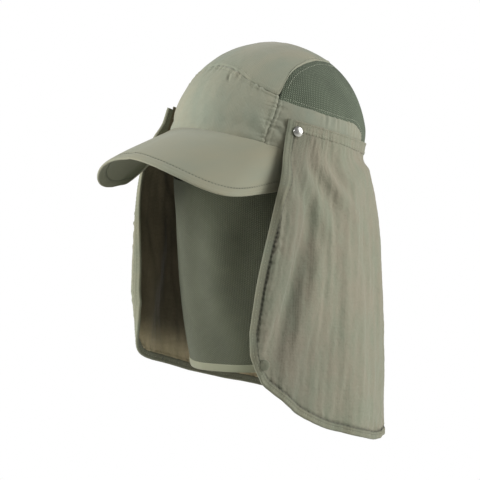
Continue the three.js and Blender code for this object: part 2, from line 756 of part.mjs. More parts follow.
const bandOffset = SEAM_GAP + 0.1 + BAND_THICKNESS;
let band = toSolid(flapBandBody());
const upperSnaps = {};
for (const [name, side] of [["left", 1], ["right", -1]]) {
  const { base, direction } = snapPlace(side);
  const hole = new THREE.CylinderGeometry(SNAP_POST_RADIUS + HOLE_CLEARANCE, SNAP_POST_RADIUS + HOLE_CLEARANCE, 20, 12);
  hole.rotateX(Math.PI / 2);
  band = band.subtract(toSolid(stand(hole, base, direction)));
  const lift = bandOffset + SEAM_GAP + SNAP_LIFT;
  const seat = base.clone().addScaledVector(direction, lift);
  const profile = snapProfile(SNAP_CAP_RADIUS, SNAP_CAP_HEIGHT, SNAP_POST_RADIUS, lift - SEAM_GAP);
  upperSnaps[name] = stand(lathed(profile), seat, direction);
}

let flap = toSolid(neckFlapBody()).subtract(toSolid(bindingBody(SEAM_GAP)));
const lowerSnaps = {};
for (const [name, side] of [["left", 1], ["right", -1]]) {
  const across = side * LOWER_SNAP_ACROSS[name];
  const depth = LOWER_SNAP_DEPTH * FLAP_DEPTH;
  const base = flapPoint(across, depth);
  const direction = flapNormal(across, depth);
  const hole = new THREE.CylinderGeometry(SNAP_POST_RADIUS + HOLE_CLEARANCE, SNAP_POST_RADIUS + HOLE_CLEARANCE, 8, 12);
  hole.rotateX(Math.PI / 2);
  flap = flap.subtract(toSolid(stand(hole, base, direction)));
  const seat = base.clone().addScaledVector(direction, SEAM_GAP + 0.25);
  const through = FLAP_THICKNESS + 2 * SEAM_GAP + 0.5;
  const profile = snapProfile(LOWER_CAP_RADIUS, SNAP_CAP_HEIGHT, SNAP_POST_RADIUS, through);
  profile.shift();
  profile.unshift(
    new THREE.Vector2(0, -through - 0.8),
    new THREE.Vector2(LOWER_CAP_RADIUS - 0.8, -through - 0.8),
    new THREE.Vector2(LOWER_CAP_RADIUS - 0.8, -through),
  );
  lowerSnaps[name] = stand(lathed(profile), seat, direction);
}

addMesh("front_panel", frontPanel, WOVEN_COLOUR, 0.85);
addMesh("side_band_left", sideBand(1), WOVEN_COLOUR, 0.85);
addMesh("side_band_right", sideBand(-1), WOVEN_COLOUR, 0.85);
addMesh("crown_mesh", crownMeshBody(), MESH_COLOUR, 0.9);
addMesh("top_panel", topPanelBody(), WOVEN_COLOUR, 0.85);
addMesh("peak", peakBody(), WOVEN_COLOUR, 0.85);
addMesh("flap_top_band", fromSolid(band), FLAP_COLOUR, 0.85);
addMesh("neck_flap", fromSolid(largestBody(flap)), FLAP_COLOUR, 0.85);
addMesh("flap_binding", bindingBody(), FLAP_COLOUR, 0.85);
addMesh("face_veil", veilBody(0, VEIL_HEM_SHARE - 0.003, 8, 0, MESH_THICKNESS), MESH_COLOUR, 0.9);
addMesh("veil_hem", veilBody(VEIL_HEM_SHARE, 1, 2, 0.3, MESH_THICKNESS + 0.6), HEM_COLOUR, 0.85);
addMesh("snap_upper_left", upperSnaps.left, METAL_COLOUR, 0.3, 1);
addMesh("snap_upper_right", upperSnaps.right, METAL_COLOUR, 0.3, 1);
addMesh("snap_lower_left", lowerSnaps.left, FLAP_COLOUR, 0.6);
addMesh("snap_lower_right", lowerSnaps.right, FLAP_COLOUR, 0.6);

export default group;
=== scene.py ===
# %% [markdown]
# A legionnaire cap is a sewn hat: woven panels and mesh on the head, a stiffened peak, a long
# neck flap on snaps, and a mesh veil under the peak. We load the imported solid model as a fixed
# frame. Every cloth piece below is built in the same millimetres as its solid, so the two lie over
# each other. The peak and the flap follow the photograph's outline a little closer than the solids.

# %% Load the frame
import math

import bpy
import numpy as np
from mathutils import Matrix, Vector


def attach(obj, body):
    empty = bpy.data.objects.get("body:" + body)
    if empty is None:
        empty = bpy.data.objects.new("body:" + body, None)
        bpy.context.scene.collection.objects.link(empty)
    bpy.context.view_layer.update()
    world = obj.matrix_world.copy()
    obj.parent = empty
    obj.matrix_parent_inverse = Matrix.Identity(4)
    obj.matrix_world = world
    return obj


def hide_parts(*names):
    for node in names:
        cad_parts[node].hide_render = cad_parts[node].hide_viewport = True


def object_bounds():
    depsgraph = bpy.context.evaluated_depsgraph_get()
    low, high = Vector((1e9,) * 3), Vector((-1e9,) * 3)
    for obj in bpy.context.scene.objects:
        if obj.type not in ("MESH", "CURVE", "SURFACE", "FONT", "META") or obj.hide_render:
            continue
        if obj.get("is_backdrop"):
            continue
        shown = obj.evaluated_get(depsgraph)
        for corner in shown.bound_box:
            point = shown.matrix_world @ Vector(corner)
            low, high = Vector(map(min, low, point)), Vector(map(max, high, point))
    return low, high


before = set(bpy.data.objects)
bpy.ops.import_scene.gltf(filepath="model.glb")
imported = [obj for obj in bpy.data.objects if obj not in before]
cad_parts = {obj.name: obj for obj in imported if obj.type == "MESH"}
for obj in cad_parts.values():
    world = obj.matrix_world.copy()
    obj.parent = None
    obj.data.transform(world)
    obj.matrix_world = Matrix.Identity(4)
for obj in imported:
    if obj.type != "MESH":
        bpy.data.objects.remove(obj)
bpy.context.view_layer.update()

# %% [markdown]
# Cloth shapes are sums of soft steps, ridges and waves. Three small functions give all of them.
# A sewing fold is never quite regular, so the third one mixes sine waves of slightly different
# lengths and directions. Its seed is fixed, and the cap comes out the same each time.

# %% Soft steps, ridges and irregular waves
MM = 0.001


def smooth(x):
    """A soft step from 0 to 1: three x squared minus two x cubed between 0 and 1, flat outside."""
    t = np.clip(x, 0, 1)
    return t * t * (3 - 2 * t)


def ridge(x, centre, width):
    """A soft ridge of height 1: e to the minus square of the distance from the centre over the width."""
    return np.exp(-(((x - centre) / width) ** 2))


def wander(x, y, size, seed, waves=6):
    """An irregular wavy field of about -1 to 1: the scaled sum of sine waves whose lengths lie near
    the size and whose directions and starts come from a seeded generator."""
    chance = np.random.default_rng(seed)
    total = 0
    for turn, stretch, start in chance.random((waves, 3)):
        length = size * (0.7 + 0.8 * stretch)
        way = math.pi * turn
        travel = x * math.cos(way) + y * math.sin(way)
        total = total + np.sin(2 * math.pi * (travel / length + start))
    return total / math.sqrt(2 * waves)


print("a soft step at a quarter:", smooth(0.25))

# %% [markdown]
# Every cloth piece is a thin skin with two faces and a folded or cut edge. Solidify could give the
# thickness, but it leaves a square rim that catches the light like cardboard. So one function
# takes an outer and an inner grid of points and joins them round the edge with a half-round rim.
# It also keeps a UV map in real metres along the cloth, which the weave follows later.

# %% Closed skins from grids of points
def facing_out(points, faces):
    """The faces turned so that the volume they enclose, a sixth of the sum of the triple products
    of their corners, is positive."""
    volume = 0
    for a, b, c in ((0, 1, 2), (0, 2, 3)):
        corner = [points[faces[:, k]] for k in (a, b, c)]
        volume += np.einsum("ij,ij->i", corner[0], np.cross(corner[1], corner[2])).sum()
    return faces[:, ::-1] if volume < 0 else faces


def place_mesh(name, points, faces, uv, tone, material, replaced, shaded_side_material=None, lined=0):
    """Puts points in millimetres and four-cornered faces into a mesh in metres. A face that repeats a
    corner becomes a triangle. uv holds metres along the cloth, and tone darkens or lightens it with
    painted shade and painted light. The faces between the first and the second `lined` count take the
    shaded side's material, a darker copy of the cloth painted for shade."""
    faces = facing_out(points, faces)
    mesh = bpy.data.meshes.new(name)
    lists = [list(dict.fromkeys(face)) for face in faces.tolist()]
    mesh.from_pydata((points * MM).tolist(), [], lists)
    mesh.polygons.foreach_set("use_smooth", np.ones(len(lists), bool))
    corner = np.zeros(len(mesh.loops), np.int32)
    mesh.loops.foreach_get("vertex_index", corner)
    layer = mesh.uv_layers.new(name="cloth")
    layer.data.foreach_set("uv", uv[corner].astype(np.float32).ravel())
    shade = mesh.attributes.new("tone", "FLOAT", "POINT")
    shade.data.foreach_set("value", tone.astype(np.float32).ravel())
    mesh.materials.append(material)
    if shaded_side_material:
        mesh.materials.append(shaded_side_material)
        side = np.zeros(len(lists), np.int32)
        side[lined:2 * lined] = 1
        mesh.polygons.foreach_set("material_index", side)
    piece = bpy.data.objects.new(name, mesh)
    bpy.context.scene.collection.objects.link(piece)
    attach(piece, "root")
    if replaced:
        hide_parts(*replaced)
    print(name, "has", len(lists), "faces")
    return piece


def grid_faces(index, wrap):
    """Four-cornered faces between neighbouring points of a grid, round to the start again if wrapped."""
    following = np.roll(index, -1, axis=0) if wrap else index[1:]
    first = index if wrap else index[:-1]
    corners = [first[:, :-1], following[:, :-1], following[:, 1:], first[:, 1:]]
    return np.stack(corners, axis=-1).reshape(-1, 4)


def shell(name, outer, inner, uv, material, replaced=(), wrap=False, tone=None, rim=3,
          shaded_side_material=None, inner_tone=None):
    """A closed skin between two equal grids. Each rim point is the middle of the two edge points, plus
    the cosine of a half turn times half the thickness, plus its sine times the way out of the edge.
    A wrapped grid is a bowl whose last row is closed at a pole. The inner face may have its own tone."""
    n, m = outer.shape[:2]
    index = np.arange(n * m).reshape(n, m)
    if wrap:
        edge = index[:, 0]
        beside = index[:, 1]
    else:
        edge = np.concatenate([index[:-1, 0], index[-1, :-1], index[:0:-1, -1], index[0, :0:-1]])
        beside = index[np.clip(edge // m, 1, n - 2), np.clip(edge % m, 1, m - 2)]
    both = [outer.reshape(-1, 3), inner.reshape(-1, 3)]
    middle = (both[0] + both[1]) / 2
    half = (both[0][edge] - both[1][edge]) / 2
    thick = np.linalg.norm(half, axis=1, keepdims=True)
    away = middle[edge] - middle[beside]
    away -= half * (np.sum(away * half, axis=1, keepdims=True) / np.maximum(thick, 1e-9) ** 2)
    away *= thick / np.maximum(np.linalg.norm(away, axis=1, keepdims=True), 1e-9)
    turns = math.pi * np.arange(1, rim + 1) / (rim + 1)
    rings = [middle[edge] + math.cos(t) * half + math.sin(t) * away for t in turns]
    points = np.concatenate([*both, *rings])
    loops = [edge] + [2 * n * m + k * len(edge) + np.arange(len(edge)) for k in range(rim)]
    loops.append(edge + n * m)
    top = grid_faces(index, wrap)
    faces = [top, (top + n * m)[:, ::-1], grid_faces(np.stack(loops, axis=1), True)[:, ::-1]]
    flat_uv = uv.reshape(-1, 2)
    flat_tone = (np.zeros((n, m)) if tone is None else tone).reshape(-1)
    uvs = [flat_uv, flat_uv] + [flat_uv[edge]] * rim
    tones = [flat_tone, flat_tone if inner_tone is None else inner_tone.reshape(-1)]
    tones += [flat_tone[edge]] * rim
    if wrap:
        start = len(points)
        poles = [outer[:, -1].mean(axis=0), inner[:, -1].mean(axis=0)]
        points = np.concatenate([points, poles])
        last = index[:, -1]
        ahead = np.roll(last, -1)
        faces.append(np.stack([last, ahead, np.full(n, start), np.full(n, start)], axis=1))
        under = np.full(n, start + 1)
        faces.append(np.stack([ahead + n * m, last + n * m, under, under], axis=1))
        uvs.append(np.repeat(uv[:, -1].mean(axis=0)[None], 2, axis=0))
        tones.append(np.zeros(2))
    return place_mesh(name, points, np.concatenate(faces), np.concatenate(uvs),
                      np.concatenate(tones), material, replaced, shaded_side_material, len(top))


def normals_of(points):
    """Unit normals of a grid: the cross product of its steps along the first and the second way."""
    normal = np.cross(np.gradient(points, axis=0), np.gradient(points, axis=1))
    return normal / np.maximum(np.linalg.norm(normal, axis=-1, keepdims=True), 1e-12)


# %% [markdown]
# The camera stands at the photograph's viewing angle: 46 degrees round from the front to the
# wearer's left and 7.7 degrees above. It is a long lens from two metres, so the far side of the
# flap is nearly as large as the near one. Its place and lens were fitted to points of the outline
# that were read from the photograph, and its direction is set once as a matrix.

# %% Camera
CAMERA_AZIMUTH = 46.0
CAMERA_ELEVATION = 7.7
CAMERA_PLACE_MM = (1416.08, -1403.79, 180.58)
CAMERA_LENS = 156.82


def camera_matrix(azimuth, elevation, place):
    """Columns of the camera's turn: right, up and back, where back points from the cap to the camera
    by the azimuth round the cap and the elevation above it."""
    a, e = math.radians(azimuth), math.radians(elevation)
    back = np.array([math.sin(a) * math.cos(e), -math.cos(a) * math.cos(e), math.sin(e)])
    right = np.array([math.cos(a), math.sin(a), 0])
    turn = np.eye(4)
    turn[:3, 0], turn[:3, 1], turn[:3, 2] = right, np.cross(back, right), back
    turn[:3, 3] = np.array(place) * MM
    return Matrix(turn.tolist())


lens = bpy.data.cameras.new("studio_camera")
lens.sensor_width = 36
lens.lens = CAMERA_LENS
lens.clip_start = 0.1
lens.clip_end = 500
camera = bpy.data.objects.new("studio_camera", lens)
bpy.context.scene.collection.objects.link(camera)
camera.matrix_world = camera_matrix(CAMERA_AZIMUTH, CAMERA_ELEVATION, CAMERA_PLACE_MM)
bpy.context.scene.camera = camera
print("camera at", [round(v, 3) for v in camera.location])

# %% [markdown]
# The photograph is a shop picture on pure white with large soft lights. A wide floor far below the
# cap fills the frame. Lit until it is pure white, it would throw too much light on the cap's
# underside. So a Light Path node shows plain white to the camera only, and pale paper to all other
# rays; the world is made the same way. Of the two big lights, named as the camera sees them, the
# left one stands in front of the cap and brightens the crown and the peak, and the right one
# stands behind it and rakes over the folds of the flap.

# %% Floor and lights
FLOOR_DEPTH_MM = 620
FLOOR_HALF_MM = 90000
WORLD_GLOW = 0.28


def linear(code, alpha=1.0):
    """A colour code in sRGB hex as linear values: each share c becomes ((c + 0.055) / 1.055) to the
    power 2.4, or c / 12.92 near black."""
    shares = [int(code[k:k + 2], 16) / 255 for k in (1, 3, 5)]
    return [*[c / 12.92 if c <= 0.04045 else ((c + 0.055) / 1.055) ** 2.4 for c in shares], alpha]


def add_node(tree, kind, values=None, links=None, **settings):
    """Adds one node with its settings, the values of its sockets and the links into them."""
    made = tree.nodes.new(kind)
    for key, value in settings.items():
        setattr(made, key, value)
    for key, value in (values or {}).items():
        made.inputs[key].default_value = value
    for key, source in (links or {}).items():
        tree.links.new(source, made.inputs[key])
    return made


def new_material(name):
    """An empty node material."""
    material = bpy.data.materials.new(name)
    material.use_nodes = True
    material.node_tree.nodes.clear()
    return material


floor_material = new_material("studio_paper_white")
tree = floor_material.node_tree
paper = add_node(tree, "ShaderNodeBsdfPrincipled",
                 {"Base Color": linear("#D8D8D4"), "Roughness": 0.95, "Specular IOR Level": 0.1})
seen = add_node(tree, "ShaderNodeEmission", {"Color": linear("#FFFFFF"), "Strength": 1.0})
ray = add_node(tree, "ShaderNodeLightPath")
either = add_node(tree, "ShaderNodeMixShader", links={
    0: ray.outputs["Is Camera Ray"], 1: paper.outputs["BSDF"], 2: seen.outputs["Emission"]})
add_node(tree, "ShaderNodeOutputMaterial", links={"Surface": either.outputs["Shader"]})
half = FLOOR_HALF_MM * MM
low = -FLOOR_DEPTH_MM * MM
floor_mesh = bpy.data.meshes.new("floor")
floor_mesh.from_pydata([(-half, -half, low), (half, -half, low), (half, half, low), (-half, half, low)],
                       [], [(0, 1, 2, 3)])
floor_mesh.materials.append(floor_material)
floor = bpy.data.objects.new("floor", floor_mesh)
bpy.context.scene.collection.objects.link(floor)
floor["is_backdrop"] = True

world = bpy.data.worlds.new("studio_white")
bpy.context.scene.world = world
world.use_nodes = True
tree = world.node_tree
tree.nodes.clear()
glow, seen = (add_node(tree, "ShaderNodeBackground", {"Color": linear("#FFFFFF"), "Strength": strength})
              for strength in (WORLD_GLOW, 1.0))
ray = add_node(tree, "ShaderNodeLightPath")
either = add_node(tree, "ShaderNodeMixShader", links={
    0: ray.outputs["Is Camera Ray"], 1: glow.outputs["Background"], 2: seen.outputs["Background"]})
add_node(tree, "ShaderNodeOutputWorld", links={"Surface": either.outputs["Shader"]})


LOOK_AT = (0, 0, -0.08)


def soft_light(name, place, width, tall, power):
    """An upright area light at a place in metres that looks at the cap. The columns of its turn are
    right, up and back, as for the camera."""
    data = bpy.data.lights.new(name, "AREA")
    data.shape = "RECTANGLE"
    data.size = width
    data.size_y = tall
    data.energy = power
    light = bpy.data.objects.new(name, data)
    bpy.context.scene.collection.objects.link(light)
    back = np.array(place) - np.array(LOOK_AT)
    back /= np.linalg.norm(back)
    right = np.cross([0, 0, 1], back)
    right /= np.linalg.norm(right)
    turn = np.eye(4)
    turn[:3, 0], turn[:3, 1], turn[:3, 2], turn[:3, 3] = right, np.cross(back, right), back, place
    light.matrix_world = Matrix(turn.tolist())


soft_light("left_light", (-1.2, -1.8, 0.75), 1.2, 1.2, 60)
soft_light("right_light", (1.7, 1.25, 0.7), 1.2, 1.8, 54)
bpy.context.scene.view_settings.view_transform = "Standard"
print("floor", FLOOR_DEPTH_MM, "mm below the origin")

# %% [markdown]
# The crown, the peak and the flap of this cap are nylon taslan: a plain weave of slightly bulked
# yarn that is dyed sage green, dry to look at and a little crinkled. The weave has about 30 threads
# per centimetre, too fine to show here, so it is drawn with a thread pitch of 1.3 mm. An image of
# cloth would be one way; two crossed sets of bands are sharper and tile without a seam. The pattern
# follows the UV map in metres, so a weave stays square on the cloth however it hangs. Stretched
# noise gives the warm and cool streaks of washed cloth, and the tone attribute adds painted shade
# along seams, grooves and folds, and painted light in a few places.

# %% Woven nylon
# A wave texture repeats every two pi over 20 of a unit at scale 1.
WAVE_PERIOD = 2 * math.pi / 20
STREAK_STRETCH = (1.0, 0.28, 1.0)
PATCH_SIZE_MM = 55
CRIMP_SIZE_MM = 5
CRINKLE_HEIGHT_MM = 0.9
THREAD_HEIGHT_MM = 0.3


def woven_nylon(name, cool, warm, pitch_mm, streak_mm, crinkle, weave_depth, roughness):
    """Plain weave: two sets of thread bands, one across the other, over warm and cool streaks."""
    material = new_material(name)
    tree = material.node_tree
    where = add_node(tree, "ShaderNodeUVMap", uv_map="cloth").outputs["UV"]
    bands = {"Scale": WAVE_PERIOD / (pitch_mm * MM), "Distortion": 1.2, "Detail": 1.0, "Detail Scale": 0.3}
    weft, warp = (add_node(tree, "ShaderNodeTexWave", bands, {"Vector": where}, bands_direction=way)
                  for way in "XY")
    threads = add_node(tree, "ShaderNodeMath", links={0: weft.outputs["Fac"], 1: warp.outputs["Fac"]},
                       operation="ADD").outputs["Value"]
    stretch = add_node(tree, "ShaderNodeMapping", {"Scale": STREAK_STRETCH}, {"Vector": where})
    streaks = add_node(tree, "ShaderNodeTexNoise",
                       {"Scale": 1 / (streak_mm * MM), "Detail": 4.0, "Roughness": 0.62},
                       {"Vector": stretch.outputs["Vector"]})
    patches = add_node(tree, "ShaderNodeTexNoise", {"Scale": 1 / (PATCH_SIZE_MM * MM), "Detail": 2.0},
                       {"Vector": where})
    mixed = add_node(tree, "ShaderNodeMath", links={0: streaks.outputs["Fac"], 1: patches.outputs["Fac"]},
                     operation="ADD")
    spread = add_node(tree, "ShaderNodeMapRange", {"From Min": 0.78, "From Max": 1.22},
                      {"Value": mixed.outputs["Value"]})
    dye = add_node(tree, "ShaderNodeMix", {"A": linear(cool), "B": linear(warm)},
                   {"Factor": spread.outputs["Result"]}, data_type="RGBA")
    # The tone attribute adds painted shade and painted light to the colour.
    tone = add_node(tree, "ShaderNodeAttribute", attribute_name="tone")
    relief = add_node(tree, "ShaderNodeMapRange", {"From Max": 2.0, "To Min": 0.975, "To Max": 1.015},
                      {"Value": threads})
    shade = add_node(tree, "ShaderNodeMath", links={0: relief.outputs["Result"], 1: tone.outputs["Fac"]},
                     operation="ADD")
    coloured = add_node(tree, "ShaderNodeVectorMath",
                        links={0: dye.outputs["Result"], "Scale": shade.outputs["Value"]}, operation="SCALE")
    crimp = add_node(tree, "ShaderNodeTexNoise",
                     {"Scale": 1 / (CRIMP_SIZE_MM * MM), "Detail": 3.0, "Roughness": 0.6}, {"Vector": where})
    crinkles = add_node(tree, "ShaderNodeBump", {"Strength": crinkle, "Distance": CRINKLE_HEIGHT_MM * MM},
                        {"Height": crimp.outputs["Fac"]})
    bump = add_node(tree, "ShaderNodeBump", {"Strength": weave_depth, "Distance": THREAD_HEIGHT_MM * MM},
                    {"Height": threads, "Normal": crinkles.outputs["Normal"]})
    cloth = add_node(tree, "ShaderNodeBsdfPrincipled",
                     {"Roughness": roughness, "Specular IOR Level": 0.25, "Sheen Weight": 0.18,
                      "Sheen Roughness": 0.45},
                     {"Base Color": coloured.outputs["Vector"], "Normal": bump.outputs["Normal"]})
    add_node(tree, "ShaderNodeOutputMaterial", links={"Surface": cloth.outputs["BSDF"]})
    return material


shell_cloth = woven_nylon("taslan_nylon_sage", "#8B9180", "#979581", 1.3, 24, 0.55, 0.35, 0.78)
peak_cloth = woven_nylon("taslan_nylon_stretched", "#8F917E", "#96937D", 1.3, 60, 0.06, 0.25, 0.72)
flap_cloth = woven_nylon("crinkled_nylon_sage", "#828572", "#8A8573", 1.3, 9, 0.9, 0.35, 0.8)
# A darker, browner copy of the flap's cloth for its inner faces: painted shade.
flap_inside_shade = woven_nylon("crinkled_nylon_shaded_side", "#625C49", "#766C57", 1.3, 12, 0.4, 0.3, 0.85)
tape_cloth = woven_nylon("folded_nylon_tape", "#777B69", "#817F6B", 1.1, 20, 0.25, 0.4, 0.76)
# A darker copy of the peak's cloth for its underside: painted shade.
peak_underside_shade = woven_nylon("taslan_nylon_underside_shaded", "#72755F", "#7A7B65", 1.3, 40, 0.1, 0.3, 0.8)
print("woven cloths:", shell_cloth.name, flap_cloth.name)

# %% [markdown]
# The sides and the veil are polyester mesh: a warp knit whose yarns leave small six-sided holes.
# Real holes would need hundreds of thousands of faces, and at this distance they only show as
# dark dots, so the hole colour is painted shade of the dark inside seen through them. Three sets of
# bands at 60 degrees to each other have their common peaks on a six-sided grid, so their sum draws
# the holes. The crown mesh has holes about 1.9 mm apart.

# %% Knitted mesh
KNIT_PATCH_SIZE_MM = 30
YARN_HEIGHT_MM = 0.6


def knitted_mesh(name, yarn, hole, pitch_mm, hole_share, depth, roughness):
    """Six-sided holes where the sum of three band patterns, turned by 60 degrees, is high."""
    material = new_material(name)
    tree = material.node_tree
    where = add_node(tree, "ShaderNodeUVMap", uv_map="cloth").outputs["UV"]
    total = None
    for third in range(3):
        turned = add_node(tree, "ShaderNodeMapping", {"Rotation": (0.0, 0.0, third * math.pi / 3)},
                          {"Vector": where})
        bands = add_node(tree, "ShaderNodeTexWave",
                         {"Scale": WAVE_PERIOD / (pitch_mm * MM), "Distortion": 0.4, "Detail": 1.0},
                         {"Vector": turned.outputs["Vector"]}, bands_direction="X").outputs["Fac"]
        if total is not None:
            bands = add_node(tree, "ShaderNodeMath", links={0: total, 1: bands},
                             operation="ADD").outputs["Value"]
        total = bands
    holes = add_node(tree, "ShaderNodeMapRange",
                     {"From Min": 3 - 2.2 * hole_share, "From Max": 3 - 0.9 * hole_share}, {"Value": total})
    patches = add_node(tree, "ShaderNodeTexNoise", {"Scale": 1 / (KNIT_PATCH_SIZE_MM * MM), "Detail": 3.0},
                       {"Vector": where})
    uneven = add_node(tree, "ShaderNodeMapRange",
                      {"From Min": 0.3, "From Max": 0.7, "To Min": 0.88, "To Max": 1.12},
                      {"Value": patches.outputs["Fac"]})
    colour = add_node(tree, "ShaderNodeMix", {"A": linear(yarn), "B": linear(hole)},
                      {"Factor": holes.outputs["Result"]}, data_type="RGBA")
    tone = add_node(tree, "ShaderNodeAttribute", attribute_name="tone")
    shade = add_node(tree, "ShaderNodeMath", links={0: uneven.outputs["Result"], 1: tone.outputs["Fac"]},
                     operation="ADD")
    coloured = add_node(tree, "ShaderNodeVectorMath",
                        links={0: colour.outputs["Result"], "Scale": shade.outputs["Value"]},
                        operation="SCALE")
    bump = add_node(tree, "ShaderNodeBump", {"Strength": depth, "Distance": YARN_HEIGHT_MM * MM},
                    {"Height": total}, invert=True)
    cloth = add_node(tree, "ShaderNodeBsdfPrincipled",
                     {"Roughness": roughness, "Specular IOR Level": 0.3, "Sheen Weight": 0.1,
                      "Sheen Roughness": 0.5},
                     {"Base Color": coloured.outputs["Vector"], "Normal": bump.outputs["Normal"]})
    add_node(tree, "ShaderNodeOutputMaterial", links={"Surface": cloth.outputs["BSDF"]})
    return material


crown_knit = knitted_mesh("polyester_mesh_dark", "#69735F", "#333B30", 1.9, 0.75, 0.6, 0.85)
veil_knit = knitted_mesh("polyester_mesh_fine", "#595D4A", "#3B3E32", 1.5, 0.7, 0.5, 0.85)
print("meshes:", crown_knit.name, veil_knit.name)

# %% [markdown]
# Small parts: polyester sewing thread, the pale tape on the veil, and nickel-plated brass for the
# press snaps. Thread has a tight twist, drawn as slanted bands 0.8 mm apart; the row on the peak
# has a darker green thread, painted shade round the stitches. Pressed and plated metal mirrors its
# surroundings, with faint marks of about 1.6 mm.

# %% Thread, pale tape and nickel
TWIST_MM = 0.8
PRESS_MARK_MM = 1.6


def sewing_thread(name, colour, dark):
    """Twisted yarn: slanted bands between a light and a dark shade of the thread."""
    material = new_material(name)
    tree = material.node_tree
    where = add_node(tree, "ShaderNodeTexCoord")
    twist = add_node(tree, "ShaderNodeTexWave", {"Scale": WAVE_PERIOD / (TWIST_MM * MM), "Distortion": 0.5},
                     {"Vector": where.outputs["Object"]}, bands_direction="DIAGONAL")
    dye = add_node(tree, "ShaderNodeMix", {"A": linear(dark), "B": linear(colour)},
                   {"Factor": twist.outputs["Fac"]}, data_type="RGBA")
    yarn = add_node(tree, "ShaderNodeBsdfPrincipled", {"Roughness": 0.6, "Sheen Weight": 0.2},
                    {"Base Color": dye.outputs["Result"]})
    add_node(tree, "ShaderNodeOutputMaterial", links={"Surface": yarn.outputs["BSDF"]})
    return material


def plated_brass(name, colour):
    """Nickel plate: a metal whose roughness and surface waver a little with pressing marks."""
    material = new_material(name)
    tree = material.node_tree
    where = add_node(tree, "ShaderNodeTexCoord")
    marks = add_node(tree, "ShaderNodeTexNoise", {"Scale": 1 / (PRESS_MARK_MM * MM), "Detail": 3.0},
                     {"Vector": where.outputs["Object"]}).outputs["Fac"]
    dull = add_node(tree, "ShaderNodeMapRange", {"To Min": 0.2, "To Max": 0.36}, {"Value": marks})
    bump = add_node(tree, "ShaderNodeBump", {"Strength": 0.1, "Distance": 0.0002}, {"Height": marks})
    metal = add_node(tree, "ShaderNodeBsdfPrincipled", {"Base Color": linear(colour), "Metallic": 1.0},
                     {"Roughness": dull.outputs["Result"], "Normal": bump.outputs["Normal"]})
    add_node(tree, "ShaderNodeOutputMaterial", links={"Surface": metal.outputs["BSDF"]})
    return material


thread_sage = sewing_thread("polyester_thread_sage", "#A3A58F", "#7F836C")
# A darker thread: painted shade round the stitches of the peak.
thread_shade_dark = sewing_thread("polyester_thread_shaded", "#6E7260", "#585C4B")
thread_pale = sewing_thread("polyester_thread_pale", "#A9AE9A", "#8A907C")
hem_tape_cloth = woven_nylon("pale_knit_tape", "#81846E", "#8A8974", 1.2, 30, 0.1, 0.35, 0.8)
nickel = plated_brass("nickel_plated_brass", "#C4C3BE")
print("small finishes:", thread_sage.name, hem_tape_cloth.name, nickel.name)

# %% [markdown]
# The crown is a dome: a superellipse, a little flat at the sides, tilted so that the front
# sits higher than the back. A point on it is given by an angle round the head from the
# front and a height angle above the rim plane. The seams are then simple lines of angle and height,
# as on a globe.

# %% The dome and its seams
HEAD_HALF_WIDTH = 82
HEAD_HALF_FRONT = 102
HEAD_HALF_BACK = 107.5
CROWN_HEIGHT = 101.4
CROWN_BACK_LEAN = 5.8
CROWN_ROUNDNESS = 2.1
RIM_TILT = 15.3
BACK_PULL = 0.045
PULL_TOP = 24
PULL_SPAN = 20
PULL_START_ANGLE = 95
PULL_FULL_ANGLE = 130
SIDE_SEAM_ANGLE = 46.3
SIDE_SEAM_LEAN = 3.0
SIDE_SEAM_TOP = 25
SIDE_SEAM_RISE = 30
RIM_HEIGHT = -3.6
RIM_SIDE_DIP = 3
JOINT_HEIGHT = -1.3
JOINT_END_DIP = 3.6
FRONT_SEAM_HEIGHT = 26.8
FRONT_SEAM_RISE = 10.4
FRONT_SEAM_SPAN = 52
SIDE_BAND_BEND = 112
SIDE_BAND_END = 137
SIDE_BAND_TOP = 24
SIDE_BAND_END_HEIGHT = 2.5
MESH_TOP_ANGLES = (46, 47.4, 50.7, 56.7, 69.7, 86, 120, 180)
MESH_TOP_HEIGHTS = (25.2, 32, 42.5, 50, 58.5, 63.5, 66, 66)
MM_PER_TURN_DEGREE = 1.55
MM_PER_HEIGHT_DEGREE = 1.75


def look_up(places, values, x):
    """Smooth reading between listed values: on each span a cubic whose end slopes are the harmonic
    mean of the neighbouring straight slopes, or flat where they change sign."""
    places, values = np.array(places, float), np.array(values, float)
    width = np.diff(places)
    slope = np.diff(values) / width
    before = np.concatenate([[slope[0]], slope])
    after = np.concatenate([slope, [slope[-1]]])
    turning = before * after > 0
    tangent = np.where(turning, 2 * before * after / np.where(turning, before + after, 1), 0)
    x = np.clip(x, places[0], places[-1])
    i = np.clip(np.searchsorted(places, x, side="right") - 1, 0, len(width) - 1)
    t = (x - places[i]) / width[i]
    return (values[i] * (1 + 2 * t) * (1 - t) ** 2 + values[i + 1] * t * t * (3 - 2 * t)
            + width[i] * (tangent[i] * t * (1 - t) ** 2 - tangent[i + 1] * t * t * (1 - t)))


def crown_point(angle, height):
    """A ray from the centre in that direction meets the superellipse where the sum of the powers of
    its shares of the half sizes is 1, pulled in at the low back by the elastic. Then y leans back by
    the square of the height share, and all is turned by the rim's tilt."""
    a, h = np.broadcast_arrays(np.radians(angle), np.radians(height))
    dx, dy, dz = np.sin(a) * np.cos(h), -np.cos(a) * np.cos(h), np.sin(h)
    long = np.where(dy < 0, HEAD_HALF_FRONT, HEAD_HALF_BACK)
    flat = (dx / HEAD_HALF_WIDTH) ** 2 + (dy / long) ** 2
    q = CROWN_ROUNDNESS
    reach = (flat ** (q / 2) + np.abs(dz / CROWN_HEIGHT) ** q) ** (-1 / q)
    turn = np.degrees(np.abs(np.arctan2(dx, -dy)))
    behind = smooth((turn - PULL_START_ANGLE) / (PULL_FULL_ANGLE - PULL_START_ANGLE))
    reach = reach * (1 - BACK_PULL * smooth((PULL_TOP - height) / PULL_SPAN) * behind)
    y = dy * reach + CROWN_BACK_LEAN * (dz * reach / CROWN_HEIGHT) ** 2
    z = dz * reach
    c, s = math.cos(math.radians(RIM_TILT)), math.sin(math.radians(RIM_TILT))
    return np.stack([dx * reach, y * c + z * s, -y * s + z * c], axis=-1)


